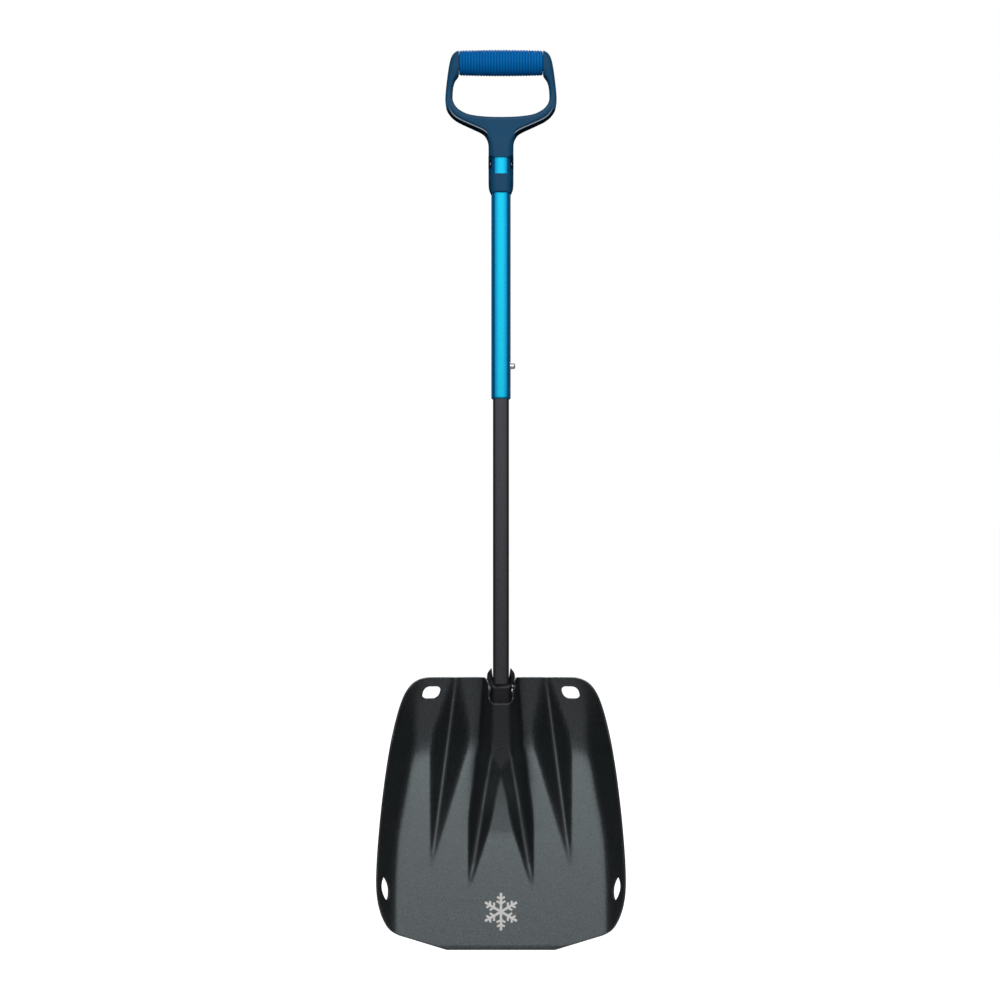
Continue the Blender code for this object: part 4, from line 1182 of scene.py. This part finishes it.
# ---------------- studio
TARGET = Vector((-1 * MM, 0, 463.5 * MM))
CAMERA_DISTANCE, FRAME_HEIGHT = 2.6, 1.03
ROOM_LIGHT = 0.038
# Softboxes: name, azimuth, elevation, distance, width, height and power.
SOFT_LIGHTS = [("key", 0, 20, 2.4, 1.7, 2.0, 34), ("back", 180, 40, 2.6, 1.8, 1.4, 32),
               ("left", -90, 58, 2.4, 1.2, 1.2, 5), ("right", 90, 58, 2.4, 1.2, 1.2, 5)]


def camera_ray(tree):
    return add_node(tree, "ShaderNodeLightPath").outputs["Is Camera Ray"]


def make_world():
    """White behind the object for the camera, a dim neutral room for everything else."""
    world = bpy.data.worlds.new("studio")
    bpy.context.scene.world = world
    world.use_nodes = True
    tree = world.node_tree
    tree.nodes.clear()
    room = add_node(tree, "ShaderNodeBackground", {"Color": (1.0, 0.62, 0.84, 1), "Strength": ROOM_LIGHT})
    white = add_node(tree, "ShaderNodeBackground", {"Color": (1, 1, 1, 1), "Strength": 1.0})
    mixed = add_node(tree, "ShaderNodeMixShader", {0: camera_ray(tree), 1: room.outputs[0],
                                                   2: white.outputs[0]})
    add_node(tree, "ShaderNodeOutputWorld", {"Surface": mixed.outputs[0]})


def make_floor():
    """A pale floor: near white to the camera with a soft shadow; in reflections a painted pool of bounce
    light near the object's foot, dim further out.
    """
    bm = bmesh.new()
    bmesh.ops.create_grid(bm, x_segments=2, y_segments=2, size=60)
    floor = mesh_object("floor", bm, bpy.context.scene.collection)
    floor.location.z = cad_low.z - 0.2 * MM
    material, tree, shader = new_material("floor_paint")
    tree.nodes.remove(shader)
    tone = noise(tree, 3, 2)
    paint = add_node(tree, "ShaderNodeBsdfDiffuse",
                     {"Color": mix_color(tree, tone, (0.48, 0.48, 0.48), (0.52, 0.52, 0.52))})
    glow = add_node(tree, "ShaderNodeEmission", {"Color": (1, 1, 1, 1), "Strength": 0.985})
    seen = add_node(tree, "ShaderNodeAddShader", {0: paint.outputs[0], 1: glow.outputs[0]})
    # for reflections only: a painted pool of bounce light close round the object, fading to dim further out
    ahead = add_node(tree, "ShaderNodeVectorMath", {0: object_place(tree), 1: (2.5, 1, 1)},
                     operation="MULTIPLY")
    away = add_node(tree, "ShaderNodeVectorMath", {0: ahead.outputs[0]}, operation="LENGTH")
    fade = remap(tree, away.outputs["Value"], 0, 1, 0.3, 0.65)
    painted_bounce_pool = mix_color(tree, fade, (0.80, 0.76, 0.78), (0.05, 0.04, 0.046))
    dim = add_node(tree, "ShaderNodeBsdfDiffuse", {"Color": painted_bounce_pool})
    mixed = add_node(tree, "ShaderNodeMixShader", {0: camera_ray(tree), 1: dim.outputs[0],
                                                   2: seen.outputs[0]})
    tree.links.new(mixed.outputs[0], tree.nodes["Material Output"].inputs["Surface"])
    floor.data.materials.append(material)


def soft_light(name, azimuth, elevation, distance, width, height, power):
    """A rectangular softbox aimed at the middle of the object; azimuth 0 is in front of it."""
    light = bpy.data.lights.new(name, "AREA")
    light.shape = "RECTANGLE"
    light.size, light.size_y = width, height
    light.energy = power
    obj = bpy.data.objects.new(name, light)
    bpy.context.scene.collection.objects.link(obj)
    turn, rise = math.radians(azimuth), math.radians(elevation)
    away = Vector((math.sin(turn) * math.cos(rise), -math.cos(turn) * math.cos(rise), math.sin(rise)))
    obj.location = TARGET + away * distance
    obj.rotation_euler = away.to_track_quat("Z", "Y").to_euler()
    obj.visible_camera = False


def make_camera():
    camera = bpy.data.objects.new("camera", bpy.data.cameras.new("camera"))
    bpy.context.scene.collection.objects.link(camera)
    camera.location = TARGET - Vector((0, CAMERA_DISTANCE, 0))
    camera.rotation_euler = (math.pi / 2, 0, 0)
    camera.data.sensor_width = 36.0
    camera.data.lens = camera.data.sensor_width * CAMERA_DISTANCE / FRAME_HEIGHT
    camera.data.clip_end = 50
    bpy.context.scene.camera = camera


# ---------------- assembly
def main():
    sheet = blade_sheet_material()
    black_tube = tube_material("black_tube", (0.036, 0.035, 0.040), (0.057, 0.055, 0.062),
                               (0.034, 0.033, 0.038), (0.095, 0.092, 0.105), 0.42)
    blue_tube = tube_material("blue_tube", (0.003, 0.39, 0.58), (0.018, 0.55, 0.79),
                              (0.001, 0.17, 0.37), (0.003, 0.30, 0.76), 0.48)
    navy = moulded_material("navy_plastic", (0.010, 0.094, 0.205), (0.014, 0.106, 0.230), 0.5, gloss=0.12)
    grip_blue = moulded_material("blue_grip", (0.0005, 0.20, 0.64), (0.001, 0.225, 0.70), 0.5, 900, 0.08)
    black = moulded_material("black_plastic", (0.021, 0.020, 0.023), (0.027, 0.026, 0.030), 0.45)
    steel = steel_material("bright_steel", (0.90, 0.90, 0.92), 0.2, 0.6)
    spring = steel_material("spring_steel", (0.34, 0.34, 0.37), 0.34)

    make_blade(sheet)
    make_mark(print_material())
    make_sleeve(black)
    make_bracket(sheet)
    for side, name in ((-1, "left"), (1, "right")):
        make_weld(side, name, sheet)
    rivet_plate = BRACKET_MID_Y + SHEET / 2
    for name, z in zip(("lower", "upper"), RIVET_HEIGHTS):
        make_rivet(f"plate_rivet_{name}", f"bracket_rivet_{name}", z, 12 * MM, rivet_plate, 4 * MM,
                   "blade", steel)

    make_lower_tube(black_tube)
    make_button("button_lower", "lower_button", "lower_snap", LOWER_BUTTON_Z, steel)
    make_button("button_upper", "upper_button", "upper_snap", UPPER_BUTTON_Z, steel)

    make_upper_tube(blue_tube)
    make_handle(navy)
    make_grip(grip_blue)
    make_rivet("rivet_handle", "handle_rivet", HANDLE_RIVET_Z, 12.1 * MM, CORE_HALF_DEPTH + NECK_OUTER,
               4.2 * MM, "upper_shaft", steel)

    for node, material in (("bottom_end_plug", black), ("top_guide_plug", black),
                           ("lower_leaf_spring", spring), ("upper_leaf_spring", spring)):
        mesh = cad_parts[node].data
        mesh.materials.clear()
        mesh.materials.append(material)

    make_world()
    make_floor()
    for light in SOFT_LIGHTS:
        soft_light(*light)
    make_camera()
    bpy.context.scene.view_settings.view_transform = "Standard"


main()
